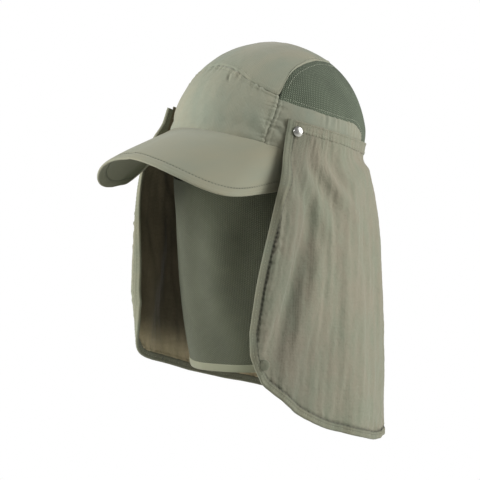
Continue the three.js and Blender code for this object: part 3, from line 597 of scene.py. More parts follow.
def crown_at(angle, height, offset):
    """The dome's point moved by the offset along the normal, the cross product of two short steps."""
    step = 0.2
    across = crown_point(angle + step, height) - crown_point(angle - step, height)
    up = crown_point(angle, height + step) - crown_point(angle, height - step)
    normal = np.cross(across, up)
    normal /= np.maximum(np.linalg.norm(normal, axis=-1, keepdims=True), 1e-9)
    return crown_point(angle, height) + normal * np.asarray(offset)[..., None]


def rim_height(angle):
    """Lower edge of the crown: it dips at the sides with the square of the sine of the angle."""
    return RIM_HEIGHT - RIM_SIDE_DIP * np.sin(np.radians(np.minimum(90, np.abs(angle)))) ** 2


def front_seam_height(angle):
    """Seam over the forehead: a hump, the cosine of the angle's share of the span to the power 2.8."""
    out = np.minimum(1, np.abs(angle) / FRONT_SEAM_SPAN)
    return FRONT_SEAM_HEIGHT + FRONT_SEAM_RISE * np.cos(np.pi / 2 * out) ** 2.8


def mesh_top_height(angle):
    """Upper edge of the mesh, read smoothly between the listed places."""
    return look_up(MESH_TOP_ANGLES, MESH_TOP_HEIGHTS, np.abs(angle))


def side_band_top(angle):
    """Upper edge of the side band: level, then round down to the rim like the end of an ellipse."""
    end_share = np.clip((np.abs(angle) - SIDE_BAND_BEND) / (SIDE_BAND_END - SIDE_BAND_BEND), 0, 1)
    low_end = rim_height(SIDE_BAND_END) + SIDE_BAND_END_HEIGHT
    return low_end + (SIDE_BAND_TOP - low_end) * np.sqrt(1 - end_share ** 2.4)


def side_seam(height):
    """Angle of the side seam: it runs forward by up to the lean from its top down to the rim."""
    return SIDE_SEAM_ANGLE - SIDE_SEAM_LEAN * smooth((SIDE_SEAM_TOP - height) / SIDE_SEAM_RISE)


print("front seam over the forehead at", front_seam_height(0.0), "degrees")

# %% [markdown]
# A sewn seam shows as a dark valley between two soft rolls, because each cloth is folded under, with
# a row of stitches a few millimetres away that pulls a second, shallower valley. The
# thread also gathers the cloth, so short puckers run across the seam. One function gives this
# relief from the distance to the seam and the run along it, both in millimetres.

# %% Seam relief
STITCH_OFFSET = 4.2


def seam_relief(distance, run, seed, pucker=0.35, spacing=7.0):
    """Minus a narrow ridge at the seam, minus a small one at the stitch row, plus a soft roll between,
    plus puckers: waves along the seam whose depth wanders and dies out away from it."""
    fold = -0.65 * ridge(distance, 0, 1.2) + 0.35 * ridge(distance, 2.3, 1.3)
    row = -0.32 * ridge(distance, STITCH_OFFSET, 0.8)
    wave = np.sin(2 * np.pi * run / spacing + 2.6 * wander(run, 0 * run, 3.1 * spacing, seed))
    lively = 0.5 + 0.6 * wander(run, 0 * run, 2.7 * spacing, seed + 1)
    return fold + row + pucker * wave * lively * np.exp(-((distance / 8.5) ** 2))


def patch(from_angle, to_angle, columns, low, high, rows):
    """A grid of angle and height between two angles and two edge lines."""
    angle = np.linspace(from_angle, to_angle, columns)[:, None]
    share = np.linspace(0, 1, rows)[None, :]
    height = low(angle) + (high(angle) - low(angle)) * share
    return np.broadcast_to(angle, height.shape), height


def cloth_uv(run, rise):
    """UV in metres from millimetres along and up the cloth."""
    return np.stack(np.broadcast_arrays(run * MM, rise * MM), axis=-1)


SEAM_GAP_ANGLE = 0.12
TUCK_MIDDLE_RUN = 19
TUCK_MIDDLE_RISE = 51.5
WOVEN_THICKNESS = 1.3


def front_relief(angle, height):
    """Relief of the front panel: seams at both sides and at the top, a fold line along the peak, fans
    of soft folds from the lower corners, one pinched tuck below the top seam and a slow unevenness."""
    side = (side_seam(height) - np.abs(angle)) * MM_PER_TURN_DEGREE
    top = (front_seam_height(angle) - height) * MM_PER_HEIGHT_DEGREE
    run = angle * MM_PER_TURN_DEGREE
    rise = height * MM_PER_HEIGHT_DEGREE
    relief = seam_relief(side, rise, 11, 0.6, 6.5) + seam_relief(top, run, 21, 0.7, 7.5)
    corner = np.hypot(side, rise + 4)
    fan = np.arctan2(rise + 4, side + 6)
    relief = relief + 0.75 * np.sin(fan * 9 + 0.6) * ridge(corner, 22, 15)
    along = (rise - TUCK_MIDDLE_RISE) * 0.95 - (run - TUCK_MIDDLE_RUN) * 0.3
    beside = (run - TUCK_MIDDLE_RUN) * 0.95 + (rise - TUCK_MIDDLE_RISE) * 0.3 - 0.03 * along ** 2
    relief = relief + (0.45 * ridge(beside, 2.8, 1.8) - 1.5 * ridge(beside, 0, 1.2)) * ridge(along, 0, 4.5)
    low_folds = np.sin(rise / 3.4 + 0.05 * run) * ridge(rise, 6, 6)
    relief = relief + 0.5 * low_folds * (0.5 + 0.5 * wander(run, rise, 30, 5))
    return relief + 0.55 * wander(run, rise * 0.5, 38, 3) + 0.16 * wander(run, rise, 11, 4)


angle, height = patch(-SIDE_SEAM_ANGLE + SEAM_GAP_ANGLE, SIDE_SEAM_ANGLE - SEAM_GAP_ANGLE, 150,
                      rim_height, lambda a: front_seam_height(a) - SEAM_GAP_ANGLE, 74)
angle = angle * (side_seam(height) - SEAM_GAP_ANGLE) / (SIDE_SEAM_ANGLE - SEAM_GAP_ANGLE)
outer = crown_at(angle, height, front_relief(angle, height))
inner = outer - normals_of(outer) * WOVEN_THICKNESS
shell("front_panel_cloth", outer, inner,
      cloth_uv(angle * MM_PER_TURN_DEGREE, height * MM_PER_HEIGHT_DEGREE),
      shell_cloth, ["front_panel"])

# %% [markdown]
# The top panel runs from the front seam over the head and ends in a round arc behind, inside the
# arc of the mesh. It is one bowl-shaped grid: rings of points from its outline up to the pole.

# %% Top panel
TOP_COLUMNS = 300
TOP_RINGS = 60
TOP_LAST_RING = 88.8
TOP_RADIUS = 95


def top_edge(angle):
    """Outline of the top panel: the front seam between the side seams, and the mesh's arc behind."""
    turn = np.abs(angle)
    behind = mesh_top_height(turn + 0.3)
    return np.where(turn <= SIDE_SEAM_ANGLE, front_seam_height(turn), behind) + SEAM_GAP_ANGLE


def top_relief(angle, height):
    """Relief of the top panel: a seam all round its outline and slow soft dents."""
    edge = (height - top_edge(angle)) * MM_PER_HEIGHT_DEGREE
    x = np.sin(np.radians(angle)) * np.cos(np.radians(height)) * 90
    y = np.cos(np.radians(angle)) * np.cos(np.radians(height)) * 90
    run = 1.1 * angle
    return seam_relief(edge, run, 31, 0.3, 7.0) + 0.5 * wander(x, y, 55, 33) + 0.14 * wander(x, y, 12, 34)


# Columns are drawn towards the corners where the seams meet, at 46 degrees.
turn = np.linspace(-180, 180, TOP_COLUMNS, endpoint=False)
turn = turn - 6 * np.sin(np.radians(2 * (np.abs(turn) - 46))) * np.sign(turn) * ridge(np.abs(turn), 60, 40)
angle = np.broadcast_to(turn[:, None], (TOP_COLUMNS, TOP_RINGS))
share = np.linspace(0, 1, TOP_RINGS)[None, :] ** 1.15
height = top_edge(angle) + (TOP_LAST_RING - top_edge(angle)) * share
outer = crown_at(angle, height, top_relief(angle, height))
inner = crown_at(angle, height, top_relief(angle, height) - WOVEN_THICKNESS)
x = np.sin(np.radians(angle)) * np.cos(np.radians(height)) * TOP_RADIUS
y = -np.cos(np.radians(angle)) * np.cos(np.radians(height)) * TOP_RADIUS
shell("top_panel_cloth", outer, inner, cloth_uv(x, y), shell_cloth, ["top_panel"], wrap=True)

# %% [markdown]
# Under the mesh lie two low woven bands. The elastic inside their rear ends gathers the cloth into
# small upright waves, which the photograph shows just behind the flap's upper edge. The bands also
# look darker there than the front panel, so their tone is lowered: painted shade.

# %% Side bands
def side_relief(angle, height):
    """Relief of a side band: seams at the front and along the top, slanting folds behind the front
    seam and gathers towards the back, all pressed flatter where the flap's band lies on them."""
    front = (np.abs(angle) - side_seam(height)) * MM_PER_TURN_DEGREE
    top = (side_band_top(angle) - height) * MM_PER_HEIGHT_DEGREE
    run = np.abs(angle) * MM_PER_TURN_DEGREE
    rise = height * MM_PER_HEIGHT_DEGREE
    relief = seam_relief(front, rise, 41, 0.9, 6.0) - 0.5 * ridge(top, 0, 1.2)
    gathers = wander(run, rise * 0.15, 6.5, 43)
    gathers = gathers * smooth((np.abs(angle) - 72) / 14) * (0.7 + 0.5 * wander(run, rise, 20, 44))
    relief = relief + 0.55 * gathers
    folds = np.sin((run * 0.3 + rise) / 1.9 + wander(run, rise, 25, 46))
    folds = folds * ridge(front, 9, 9) * ridge(rise, 14, 13)
    under_band = smooth((np.abs(angle) - 53) / 4) * smooth((18 - height) / 3)
    return (relief + 0.9 * folds + 0.3 * wander(run, rise, 24, 45)) * (1 - 0.75 * under_band)


# Painted shade on the side bands.
SIDE_BAND_PAINTED_SHADE = -0.12

for name, side in (("left", 1), ("right", -1)):
    angle, height = patch(SIDE_SEAM_ANGLE + SEAM_GAP_ANGLE, SIDE_BAND_END, 190,
                          rim_height, lambda a: side_band_top(a) - SEAM_GAP_ANGLE, 40)
    to_end = (SIDE_BAND_END - angle) / (SIDE_BAND_END - SIDE_SEAM_ANGLE)
    angle = angle - (SIDE_SEAM_ANGLE - side_seam(height)) * to_end
    outer = crown_at(side * angle, height, side_relief(angle, height))
    inner = crown_at(side * angle, height, side_relief(angle, height) - WOVEN_THICKNESS)
    shell("side_band_cloth_" + name, outer, inner,
          cloth_uv(angle * MM_PER_TURN_DEGREE, height * MM_PER_HEIGHT_DEGREE),
          shell_cloth, ["side_band_" + name], tone=np.full(angle.shape, SIDE_BAND_PAINTED_SHADE))

# %% [markdown]
# The mesh is one piece round the back of the head. It lies just under the woven edges, as it is
# sewn in beneath them, and is smoother than the woven cloth, because a knit stretches over the head.

# %% Crown mesh
MESH_COLUMNS = 360
MESH_THICKNESS = 0.9
MESH_SINK = 0.45
MESH_FRONT_ANGLE = 46.8
MESH_MEAN_HEIGHT = 35


def mesh_low(angle):
    """Lower edge of the mesh: the top of the side band, and the crown's rim at the back."""
    turn = np.where(np.abs(angle) > 180, 360 - np.abs(angle), np.abs(angle))
    over_band = side_band_top(np.minimum(turn, SIDE_BAND_END)) + 0.1
    return np.where(turn >= SIDE_BAND_END, rim_height(turn), over_band)


def mesh_high(angle):
    """Upper edge of the mesh: its arc over the ear, the same on both sides."""
    turn = np.where(angle > 180, 360 - angle, angle)
    return mesh_top_height(turn) - SEAM_GAP_ANGLE


def mesh_relief(angle, height):
    """Relief of the mesh: a little below the woven cloth, with a shallow valley along the stitches."""
    top = (mesh_high(angle) - height) * MM_PER_HEIGHT_DEGREE
    bottom = (height - mesh_low(angle)) * MM_PER_HEIGHT_DEGREE
    run = angle * MM_PER_TURN_DEGREE
    valley = -0.3 * ridge(top, 5, 0.9) - 0.3 * ridge(bottom, 3.5, 0.9)
    return -MESH_SINK + valley + 0.35 * wander(run, height * 1.7, 45, 51)


angle, height = patch(MESH_FRONT_ANGLE, 360 - MESH_FRONT_ANGLE, MESH_COLUMNS, mesh_low, mesh_high, 56)
outer = crown_at(angle, height, mesh_relief(angle, height))
inner = crown_at(angle, height, mesh_relief(angle, height) - MESH_THICKNESS)
run = angle * MM_PER_TURN_DEGREE * np.cos(np.radians(MESH_MEAN_HEIGHT))
shell("crown_mesh_knit", outer, inner, cloth_uv(run, height * MM_PER_HEIGHT_DEGREE),
      crown_knit, ["crown_mesh"])

# %% [markdown]
# The peak is cloth over a stiff plastic sheet. The needle goes through all of it, so the stitch row
# near the edge leaves a fine groove, and the rim is a folded edge. A bent plane would give the
# curve but not the drooping corners. So its surface runs in straight lines from the joint on the
# crown to an edge line, a superellipse seen from above, that is lower at the sides. The two sides
# have values of their own, fitted to the photograph's outline of the peak, so the edge reaches
# about 9.5 mm further than the solid's. The underside is a darker copy of the cloth, painted shade,
# and the stitch groove has painted shade too.

# %% Peak
PEAK_END_ANGLE = 54.5
PEAK_LEFT = {"half_width": 82.5, "squareness": 3, "taper": 0.08, "rear_rise": -0.9, "rise_start": 0.6,
             "droop": 5.9, "droop_middle": 0.73, "droop_width": 0.3}
PEAK_RIGHT = {"half_width": 86.9, "squareness": 3, "taper": 0.26, "rear_rise": 25.4, "rise_start": 0.79,
              "droop": 11.9, "droop_middle": 0.56, "droop_width": 0.36}
PEAK_CENTRE_Y = -56
PEAK_REACH = 121
PEAK_NOSE_HEIGHT = 3.9
PEAK_SIDE_DROP = 30.5
PEAK_CROWNING = 2
PEAK_THICKNESS = 2.8
PEAK_STITCH_INSET = 8.5
PEAK_COLUMNS = 240
PEAK_ROWS = 70
PEAK_RUN_AT_JOINT = 84
PEAK_RUN_GAIN = 106


def joint_height(angle):
    """Height angle of the line where the peak meets the crown: it dips with the square of the angle."""
    return JOINT_HEIGHT - JOINT_END_DIP * (np.abs(angle) / PEAK_END_ANGLE) ** 2


def peak_edge(share):
    """Edge line of the peak from share -1 to 1: a superellipse in plan that tapers at the rear, and a
    height that falls with the square of the share of the half width. Each side droops a little more
    before its rear corner, and the right side rises again behind."""
    half_width, squareness, taper, rear_rise, rise_start, droop, droop_middle, droop_width = (
        np.where(share > 0, PEAK_LEFT[key], PEAK_RIGHT[key]) for key in PEAK_LEFT)
    turn = share * np.pi / 2
    power = 2 / squareness
    x = half_width * np.sign(np.sin(turn)) * np.abs(np.sin(turn)) ** power
    y = PEAK_CENTRE_Y - PEAK_REACH * np.abs(np.cos(turn)) ** power
    z = (PEAK_NOSE_HEIGHT - PEAK_SIDE_DROP * (x / half_width) ** 2
         + rear_rise * smooth((np.abs(share) - rise_start) / (1 - rise_start))
         - droop * ridge(np.abs(share), droop_middle, droop_width))
    return np.stack([x * (1 - taper * smooth((np.abs(share) - 0.7) / 0.3)), y, z], axis=-1)


def peak_top(share, out):
    """Straight mix between the joint line and the edge line, plus a low crown of 4 out (1 - out)."""
    angle = share * PEAK_END_ANGLE
    joint = crown_at(angle, joint_height(angle), np.full(np.shape(angle), 0.35))
    point = joint + (peak_edge(share) - joint) * out[..., None]
    point[..., 2] += PEAK_CROWNING * 4 * out * (1 - out) * (1 - share * share)
    return point


share = np.linspace(-1, 1, PEAK_COLUMNS)[:, None] * np.ones((1, PEAK_ROWS))
out = 1 - (1 - np.linspace(0, 1, PEAK_ROWS)[None, :] * np.ones((PEAK_COLUMNS, 1))) ** 1.3
base = peak_top(share, out)
inset = np.linalg.norm(base - base[:, -1:], axis=-1)
groove = 0.5 * ridge(inset, PEAK_STITCH_INSET, 0.8) + 0.3 * ridge(inset, 3.2, 0.7)
relief = 0.25 * wander(base[..., 0], base[..., 1], 60, 61) - groove - 0.5 * ridge(inset, 0, 1.5)
upward = -normals_of(base)
outer = base + upward * relief[..., None]
inner = base - upward * (PEAK_THICKNESS - 0.4 * ridge(inset, PEAK_STITCH_INSET, 1.2))[..., None]
span = np.linalg.norm(base[:, :1] - base[:, -1:], axis=-1)
run = share * (PEAK_RUN_AT_JOINT + PEAK_RUN_GAIN * out)
# The tone darkens the stitch groove with painted shade.
shell("peak_cloth", outer, inner, cloth_uv(run, span * out), peak_cloth, ["peak"],
      tone=-0.07 * ridge(inset, PEAK_STITCH_INSET, 1.0), rim=5, shaded_side_material=peak_underside_shade)

# %% [markdown]
# The neck flap is one long cloth from temple to temple. Its shape is worked out from a share across
# (0 at the centre back, 1 at the left front edge) and a depth below its top seam: it follows the
# crown down to the rim and then hangs free in a round curve that opens towards the hem. Cloth
# simulation was considered, but the folds of the photograph have known places, so they are added as
# functions of the same two values. The front edges hang differently: the left one swings far
# forward, and the right one stands off the head at its snap and is pulled back below. The hem's
# depth is a short list of shares of the full depth, because its corners are cut round. The values
# of the edges and the hem were fitted to points of the outline read from the photograph.

# %% Hanging shape of the flap
FLAP_SIDE_SHARE = 0.64
FLAP_FRONT_ANGLE = 54.4
FLAP_BAND_TOP = 14.2
FLAP_BAND_BOTTOM = 8.2
FLAP_HALF_WIDTH_TOP = 85
FLAP_HALF_WIDTH_HEM = 100
FLAP_BACK_TOP = 104
FLAP_BACK_HEM = 125
FLAP_FRONT_TOP = 53.4
FLAP_FRONT_DEPTH = 200
FLAP_DEPTH = 268
FLAP_EDGE_ROLL = 12
FLAP_ROLL_START = 0.84
FLAP_FALL = 3.2
FLAP_TOP_OFFSET = 1.3
FLAP_HOLD = 18
FLAP_RUN_BEHIND = 235
FLAP_RUN_IN_FRONT = 300
DEPTH_PER_DEGREE = 1.5
FLAP_FOLD_DEPTH = 1.3
FLAP_FOLD_COUNT = 7
LEFT_EDGE = {"flare": 0.7, "flare_start": 0.952, "hold": 58.7, "advance": 60.5, "start": 0.84,
             "ease": 1.07, "roll": 80, "pull": 0}
RIGHT_EDGE = {"flare": 17, "flare_start": 0.88, "hold": 18, "advance": 45, "start": 1,
              "ease": 3.6, "roll": 125, "pull": 6}
HEM_PLACES = (0, 0.3, 0.42, 0.55, 0.68, 0.79, 0.88, 0.94, 0.967, 0.985, 1)
LEFT_HEM_DEPTHS = (1, 1.044, 1.048, 1.034, 1.008, 0.96, 0.89, 0.838, 0.795, 0.75, 0.672)
RIGHT_HEM_DEPTHS = (1, 0.952, 0.936, 0.922, 0.902, 0.876, 0.86, 0.848, 0.805, 0.748, 0.66)


def edge_value(across, key):
    """How the front edge of that side hangs: the left edge's value, or the right one's."""
    return np.where(across > 0, LEFT_EDGE[key], RIGHT_EDGE[key])


def flap_angle(across):
    """Angle round the head: from 180 at the back to 90 at the side share, then on to the front edge."""
    share = np.abs(across)
    angle = np.where(share < FLAP_SIDE_SHARE, 180 - 90 * share / FLAP_SIDE_SHARE,
                     90 - (90 - FLAP_FRONT_ANGLE) * (share - FLAP_SIDE_SHARE) / (1 - FLAP_SIDE_SHARE))
    return np.where(across < 0, -angle, angle)


def flap_top_point(across, height, offset):
    """A point that lies on the crown under the band, with the corner standing off it at the snap."""
    start = edge_value(across, "flare_start")
    flare = edge_value(across, "flare") * smooth((np.abs(across) - start) / (1 - start))
    return crown_at(flap_angle(across), height, offset + flare)


def hanging_section(across, depth):
    """Plan of the free cloth at a depth: a quarter ellipse at each side of the back, straight sides, and
    front edges that roll in on a circle and may be pulled back near the hem."""
    share, side = np.abs(across), np.where(across < 0, -1, 1)
    fall = 1 - (1 - np.clip(depth / FLAP_DEPTH, 0, 1)) ** FLAP_FALL
    half_width = FLAP_HALF_WIDTH_TOP + (FLAP_HALF_WIDTH_HEM - FLAP_HALF_WIDTH_TOP) * fall
    back = FLAP_BACK_TOP + (FLAP_BACK_HEM - FLAP_BACK_TOP) * fall
    down = np.clip(depth / FLAP_FRONT_DEPTH, 0, 1)
    ease, start = edge_value(across, "ease"), edge_value(across, "start")
    front = -FLAP_FRONT_TOP - edge_value(across, "advance") * (1 - (1 - down ** start) ** ease)
    turn = np.minimum(share / FLAP_SIDE_SHARE, 1) * np.pi / 2
    forward = np.clip((share - FLAP_SIDE_SHARE) / (1 - FLAP_SIDE_SHARE), 0, 1.2)
    grown = 0.03 + 0.97 * smooth((depth - 10) / 140)
    roll = FLAP_EDGE_ROLL * grown
    inset = 3 * forward ** 2 * grown
    curl = np.maximum(0, (forward - FLAP_ROLL_START) / (1 - FLAP_ROLL_START))
    curl = curl * np.radians(edge_value(across, "roll"))
    pull = edge_value(across, "pull") * smooth((depth - 160) / 60) * smooth((forward - 0.3) / 0.6)
    x_side = half_width - inset - roll * (1 - np.cos(curl)) - pull
    y_side = np.where(forward < FLAP_ROLL_START, (front + roll) * forward / FLAP_ROLL_START,
                      front + roll - roll * np.sin(curl)) + 0.6 * pull
    behind = share < FLAP_SIDE_SHARE
    x = np.where(behind, half_width * np.sin(turn), x_side) * side
    return x, np.where(behind, back * np.cos(turn), y_side)


def flap_base(across, depth):
    """Near the seam the cloth follows the dome down, and over the hold depth it eases into the free
    section. Long folds push it in and out, away from the centre line, in seven waves."""
    across, depth = np.broadcast_arrays(np.asarray(across, float), np.asarray(depth, float))
    start = FLAP_BAND_BOTTOM - 0.25
    followed = np.maximum(start - depth / DEPTH_PER_DEGREE, -9)
    top = flap_top_point(across, np.full(across.shape, start), FLAP_TOP_OFFSET)
    near = flap_top_point(across, followed, FLAP_TOP_OFFSET)
    x, y = hanging_section(across, depth)
    near_front = smooth((np.abs(across) - 0.3) / 0.45)
    hold = FLAP_HOLD + (edge_value(across, "hold") - FLAP_HOLD) * near_front
    free = smooth(depth / hold)
    fold = FLAP_FOLD_DEPTH * smooth(depth / 60)
    fold = fold * np.sin(across * FLAP_FOLD_COUNT * np.pi + 0.9 + depth * 0.004)
    length = np.maximum(np.hypot(x, y), 1e-6)
    above = depth < 0
    z = np.where(above, near[..., 2], top[..., 2] - depth)
    out = 1 + fold * (depth > 0) / length
    return np.stack([near[..., 0] * (1 - free) + x * out * free,
                     near[..., 1] * (1 - free) + y * out * free, z], axis=-1)


def hem_depth(across):
    """Depth of the hem: the listed shares of the full depth, longer on the left side of the wearer."""
    share = np.abs(across)
    left, right = (look_up(HEM_PLACES, depths, share) for depths in (LEFT_HEM_DEPTHS, RIGHT_HEM_DEPTHS))
    return np.where(across > 0, left, right) * FLAP_DEPTH


def flap_run(across):
    """Millimetres along the cloth from the centre back, so many for each share behind and in front."""
    share = np.abs(across)
    behind = FLAP_RUN_BEHIND * np.minimum(share, FLAP_SIDE_SHARE)
    run = behind + FLAP_RUN_IN_FRONT * np.maximum(0, share - FLAP_SIDE_SHARE)
    return run * np.where(across < 0, -1, 1)


print("hem at the back", hem_depth(0.0), "mm below the seam")

# %% [markdown]
# Folds: soft upright waves that grow with the depth, slanting folds that fall from the band towards
# the back, one long fold down each side, and small gathers under the band. Each is a wave or a
# ridge in millimetres that moves the surface along its normal. The drape is shared by the cloth,
# its binding, its stitches and its snaps, so they stay together. The finer relief is the cloth's own.

# %% Folds of the flap
LONG_FOLD_RUN = 205
LONG_FOLD_SLANT = 0.26
LONG_FOLD_TOP = 106
LONG_FOLD_MIDDLE = 150
LONG_FOLD_DEPTH = 8.5
STITCH_PULL = 4.6
MEAN_RUN_PER_SHARE = 250
FOLD_SHADE = 0.2
LOW_FRONT_SHADE = 0.12
LEFT_FRONT_SHADE = 0.17
RIGHT_EDGE_PAINTED_LIGHT = 0.16


def surface_normal(surface, across, depth):
    """Outward unit normal: the cross product of a short step across and a short step down."""
    sideways = surface(across + 0.003, depth) - surface(across - 0.003, depth)
    down = surface(across, depth + 0.8) - surface(across, depth - 0.8)
    normal = np.cross(sideways, down)
    return normal / np.maximum(np.linalg.norm(normal, axis=-1, keepdims=True), 1e-9)


def long_fold_line(depth):
    """Run at which the bottom of the long fold lies: it slants forward as it goes down."""
    return LONG_FOLD_RUN + LONG_FOLD_SLANT * (depth - LONG_FOLD_TOP)


def drape_relief(across, depth):
    """Sum of upright waves, slanting folds and one long fold on each side, in millimetres."""
    run = flap_run(across)
    turn = np.abs(flap_angle(across))
    grown = smooth(depth / 90)
    upright = 2.2 * wander(run, depth * 0.1, 34, 71) + 0.8 * wander(run, depth * 0.12, 14, 72)
    slant = np.sin((np.abs(run) * 0.8 + depth * 0.62) / 5.6 + wander(run, depth, 60, 73))
    slant = slant * ridge(turn, 84, 17) * ridge(depth, 46, 40) * smooth(depth / 18)
    line = long_fold_line(depth)
    long_fold = ridge(np.abs(run), line, 13) - 0.4 * ridge(np.abs(run), line - 27, 12)
    return upright * grown + 2.2 * slant - LONG_FOLD_DEPTH * long_fold * ridge(depth, LONG_FOLD_MIDDLE, 66)


def flap_drape(across, depth):
    """The base shape moved along its normal by the drape relief."""
    relief = drape_relief(across, depth)
    return flap_base(across, depth) + surface_normal(flap_base, across, depth) * relief[..., None]


def cloth_width(across, depth):
    """Millimetres of cloth per share across, from a short step of the base shape."""
    centre = np.clip(across, -0.97, 0.97)
    step = flap_base(centre + 0.01, depth) - flap_base(centre - 0.01, depth)
    return np.linalg.norm(step, axis=-1) / 0.02


def edge_distance(across, depth):
    """Distance to the nearest free edge: to the front edge across the cloth, or to the hem, measured
    square to it."""
    front = (1 - np.abs(across)) * cloth_width(across, np.minimum(depth, hem_depth(1.0)))
    slope = (hem_depth(np.clip(across + 0.004, -1, 1)) - hem_depth(np.clip(across - 0.004, -1, 1)))
    slope = slope / (0.008 * cloth_width(across, depth))
    return np.minimum(front, (hem_depth(across) - depth) / np.sqrt(1 + slope ** 2))


BINDING_WIDTH = 7.5
FLAP_THICKNESS = 1.0
LOWER_SNAP_PLACES = {"left": (0.9335, 206.6), "right": (-0.869, 224)}
PRESSED_RADIUS = 6.5


def edge_run(across, depth):
    """Millimetres along the nearest edge: down the front edge, or along the hem."""
    nearer_front = (1 - np.abs(across)) * MEAN_RUN_PER_SHARE < hem_depth(across) - depth
    return np.where(nearer_front, depth, flap_run(across))


def pull_wave(along):
    """A wave of about a stitch's length along the edge, whose phase wanders."""
    return np.sin(2 * np.pi * along / STITCH_PULL + 1.5 * wander(along, 0 * along, 20, 86))


def cloth_relief(across, depth):
    """Gathers under the band, puckers and a tuck along the binding, which stay outside the binding's
    fold, and fine unevenness. The lower snaps press all of it flat round them."""
    run = flap_run(across)
    turn = np.abs(flap_angle(across))
    gathers = wander(run, depth * 0.12, 6.5, 81) * np.exp(-np.maximum(depth, 0) / 14)
    gathers = gathers * (0.3 + 0.7 * smooth((turn - 62) / 18)) * smooth(depth / 2)
    edge = edge_distance(across, depth)
    along = edge_run(across, depth)
    puckers = wander(along, edge * 0.25, 9, 82) * (0.6 + 0.5 * wander(along, 0 * along, 50, 83))
    puckers = puckers * ridge(edge, 8.0, 8)
    tuck = -(1.2 + 0.7 * pull_wave(along)) * ridge(edge, 8.1, 1.3) * smooth(depth / 40)
    fine = 0.25 * wander(run, depth * 0.3, 8, 84) * smooth(depth / 50) + 0.12 * wander(run, depth, 6, 85)
    outside = smooth((edge - 6.8) / 2.5)
    for place, level in LOWER_SNAP_PLACES.values():
        away = np.hypot(run - flap_run(place), depth - level)
        outside = outside * (1 - ridge(away, 0, PRESSED_RADIUS))
    return (0.9 * gathers + 1.4 * puckers + tuck + fine) * outside


def flap_tone(across, depth):
    """Tone of the cloth, painted shade and light: a thin painted shadow line beside the binding, deeper
    where the stitches pull. The long fold and the left front get painted shade and the right front edge
    painted light, to match the light of the photograph at its own viewing angle."""
    pulled = 0.7 + 0.3 * pull_wave(edge_run(across, depth))
    line = -0.75 * pulled * ridge(edge_distance(across, depth), 7.6, 1.2) * smooth((depth + 4) / 8)
    fold = ridge(np.abs(flap_run(across)), long_fold_line(depth) - 9, 7) * ridge(depth, LONG_FOLD_MIDDLE, 60)
    low_front = ridge(across, 0.76, 0.12) * smooth((depth - 150) / 50)
    left_front = smooth((across - 0.72) / 0.12)
    right_edge = smooth((-across - 0.86) / 0.06)
    return (line - FOLD_SHADE * fold - LOW_FRONT_SHADE * low_front - LEFT_FRONT_SHADE * left_front
            + RIGHT_EDGE_PAINTED_LIGHT * right_edge)


def flap_surface(across, depth):
    """The draped cloth with its gathers and puckers."""
    relief = cloth_relief(across, depth)
    return flap_drape(across, depth) + surface_normal(flap_drape, across, depth) * relief[..., None]


# %% [markdown]
# The flap's cloth ends inside the fold of its binding, 2 mm short of the edge. Columns lie closer
# together towards the front edges, where the cloth rolls in and the photograph looks straight at it,
# and rows lie closer towards the hem. The inner face takes a darker, browner copy of the cloth:
# painted shade of the flap's inside. Its tone is lighter near the hem, painted light, because the
# photograph has more light there than this floor gives.

# %% Neck flap
FLAP_COLUMNS = 300
FLAP_ROWS = 150
EDGE_INSET = 2.2
HEM_CLEARANCE = 0.6
HEM_LIGHT = 2.1

along = np.linspace(-1, 1, FLAP_COLUMNS)[:, None]
share = np.sign(along) * (1 - (1 - np.abs(along)) ** 1.25)
side_width = cloth_width(np.sign(share) * 0.97, 120.0 + 0 * share)
lowest = hem_depth(share * (1 - EDGE_INSET / side_width)) - EDGE_INSET - HEM_CLEARANCE
depth = lowest * (1 - (1 - np.linspace(0, 1, FLAP_ROWS)[None, :]) ** 1.25)
front_width = cloth_width(np.where(share < 0, -0.97, 0.97), np.minimum(depth, hem_depth(1.0)))
across = share * (1 - EDGE_INSET / front_width)
outer = flap_surface(across, depth)
inner = outer - normals_of(outer) * FLAP_THICKNESS
near_hem = HEM_LIGHT * smooth((depth / hem_depth(across) - 0.8) / 0.16)
flap = shell("neck_flap_cloth", outer, inner, cloth_uv(flap_run(across), -depth), flap_cloth,
             ["neck_flap"], tone=flap_tone(across, depth), shaded_side_material=flap_inside_shade,
             inner_tone=near_hem)

# %% [markdown]
# The binding is a strip of the same nylon, folded over the raw edge and sewn through. Its section
# is a narrow U: 7.5 mm up the outside, round the edge, and 7.5 mm up the inside. A bevelled curve
# could carry a section too, but it would not follow the folds of the cloth. So each point of the
# section is the draped cloth itself, further in or out, along the whole outline of the flap. On the
# right front edge the tape is toned lighter with painted light, as the photograph shows it. Its tone
# also has a painted shadow line along its inner edge, painted shade in the stitch groove, and
# painted shade on the inside of the U.

# %% Binding
LEFT_TOP_DEPTH = -9.0
RIGHT_TOP_DEPTH = -7.0
EDGE_STEPS = 150
HEM_STEPS = 560
TURN_POINTS = 17
BINDING_HALF = 1.35
TAPE_THICKNESS = 0.5
TAPE_PUFF = 0.4
TAPE_RIGHT_PAINTED_LIGHT = 0.28
TAPE_SINK = 0.5
SECTION_STEPS = 9


def flap_outline():
    """Pairs of share across and depth: down the left front edge, along the hem, up the right one."""
    down = np.linspace(LEFT_TOP_DEPTH, float(hem_depth(1.0)), EDGE_STEPS, endpoint=False)
    along = np.linspace(1, -1, HEM_STEPS)
    across = np.sign(along) * (1 - (1 - np.abs(along)) ** 1.6)
    up = np.linspace(float(hem_depth(-1.0)), RIGHT_TOP_DEPTH, EDGE_STEPS + 1)[1:]
    return (np.concatenate([np.ones(EDGE_STEPS), across, -np.ones(EDGE_STEPS)]),
            np.concatenate([down, hem_depth(across), up]))


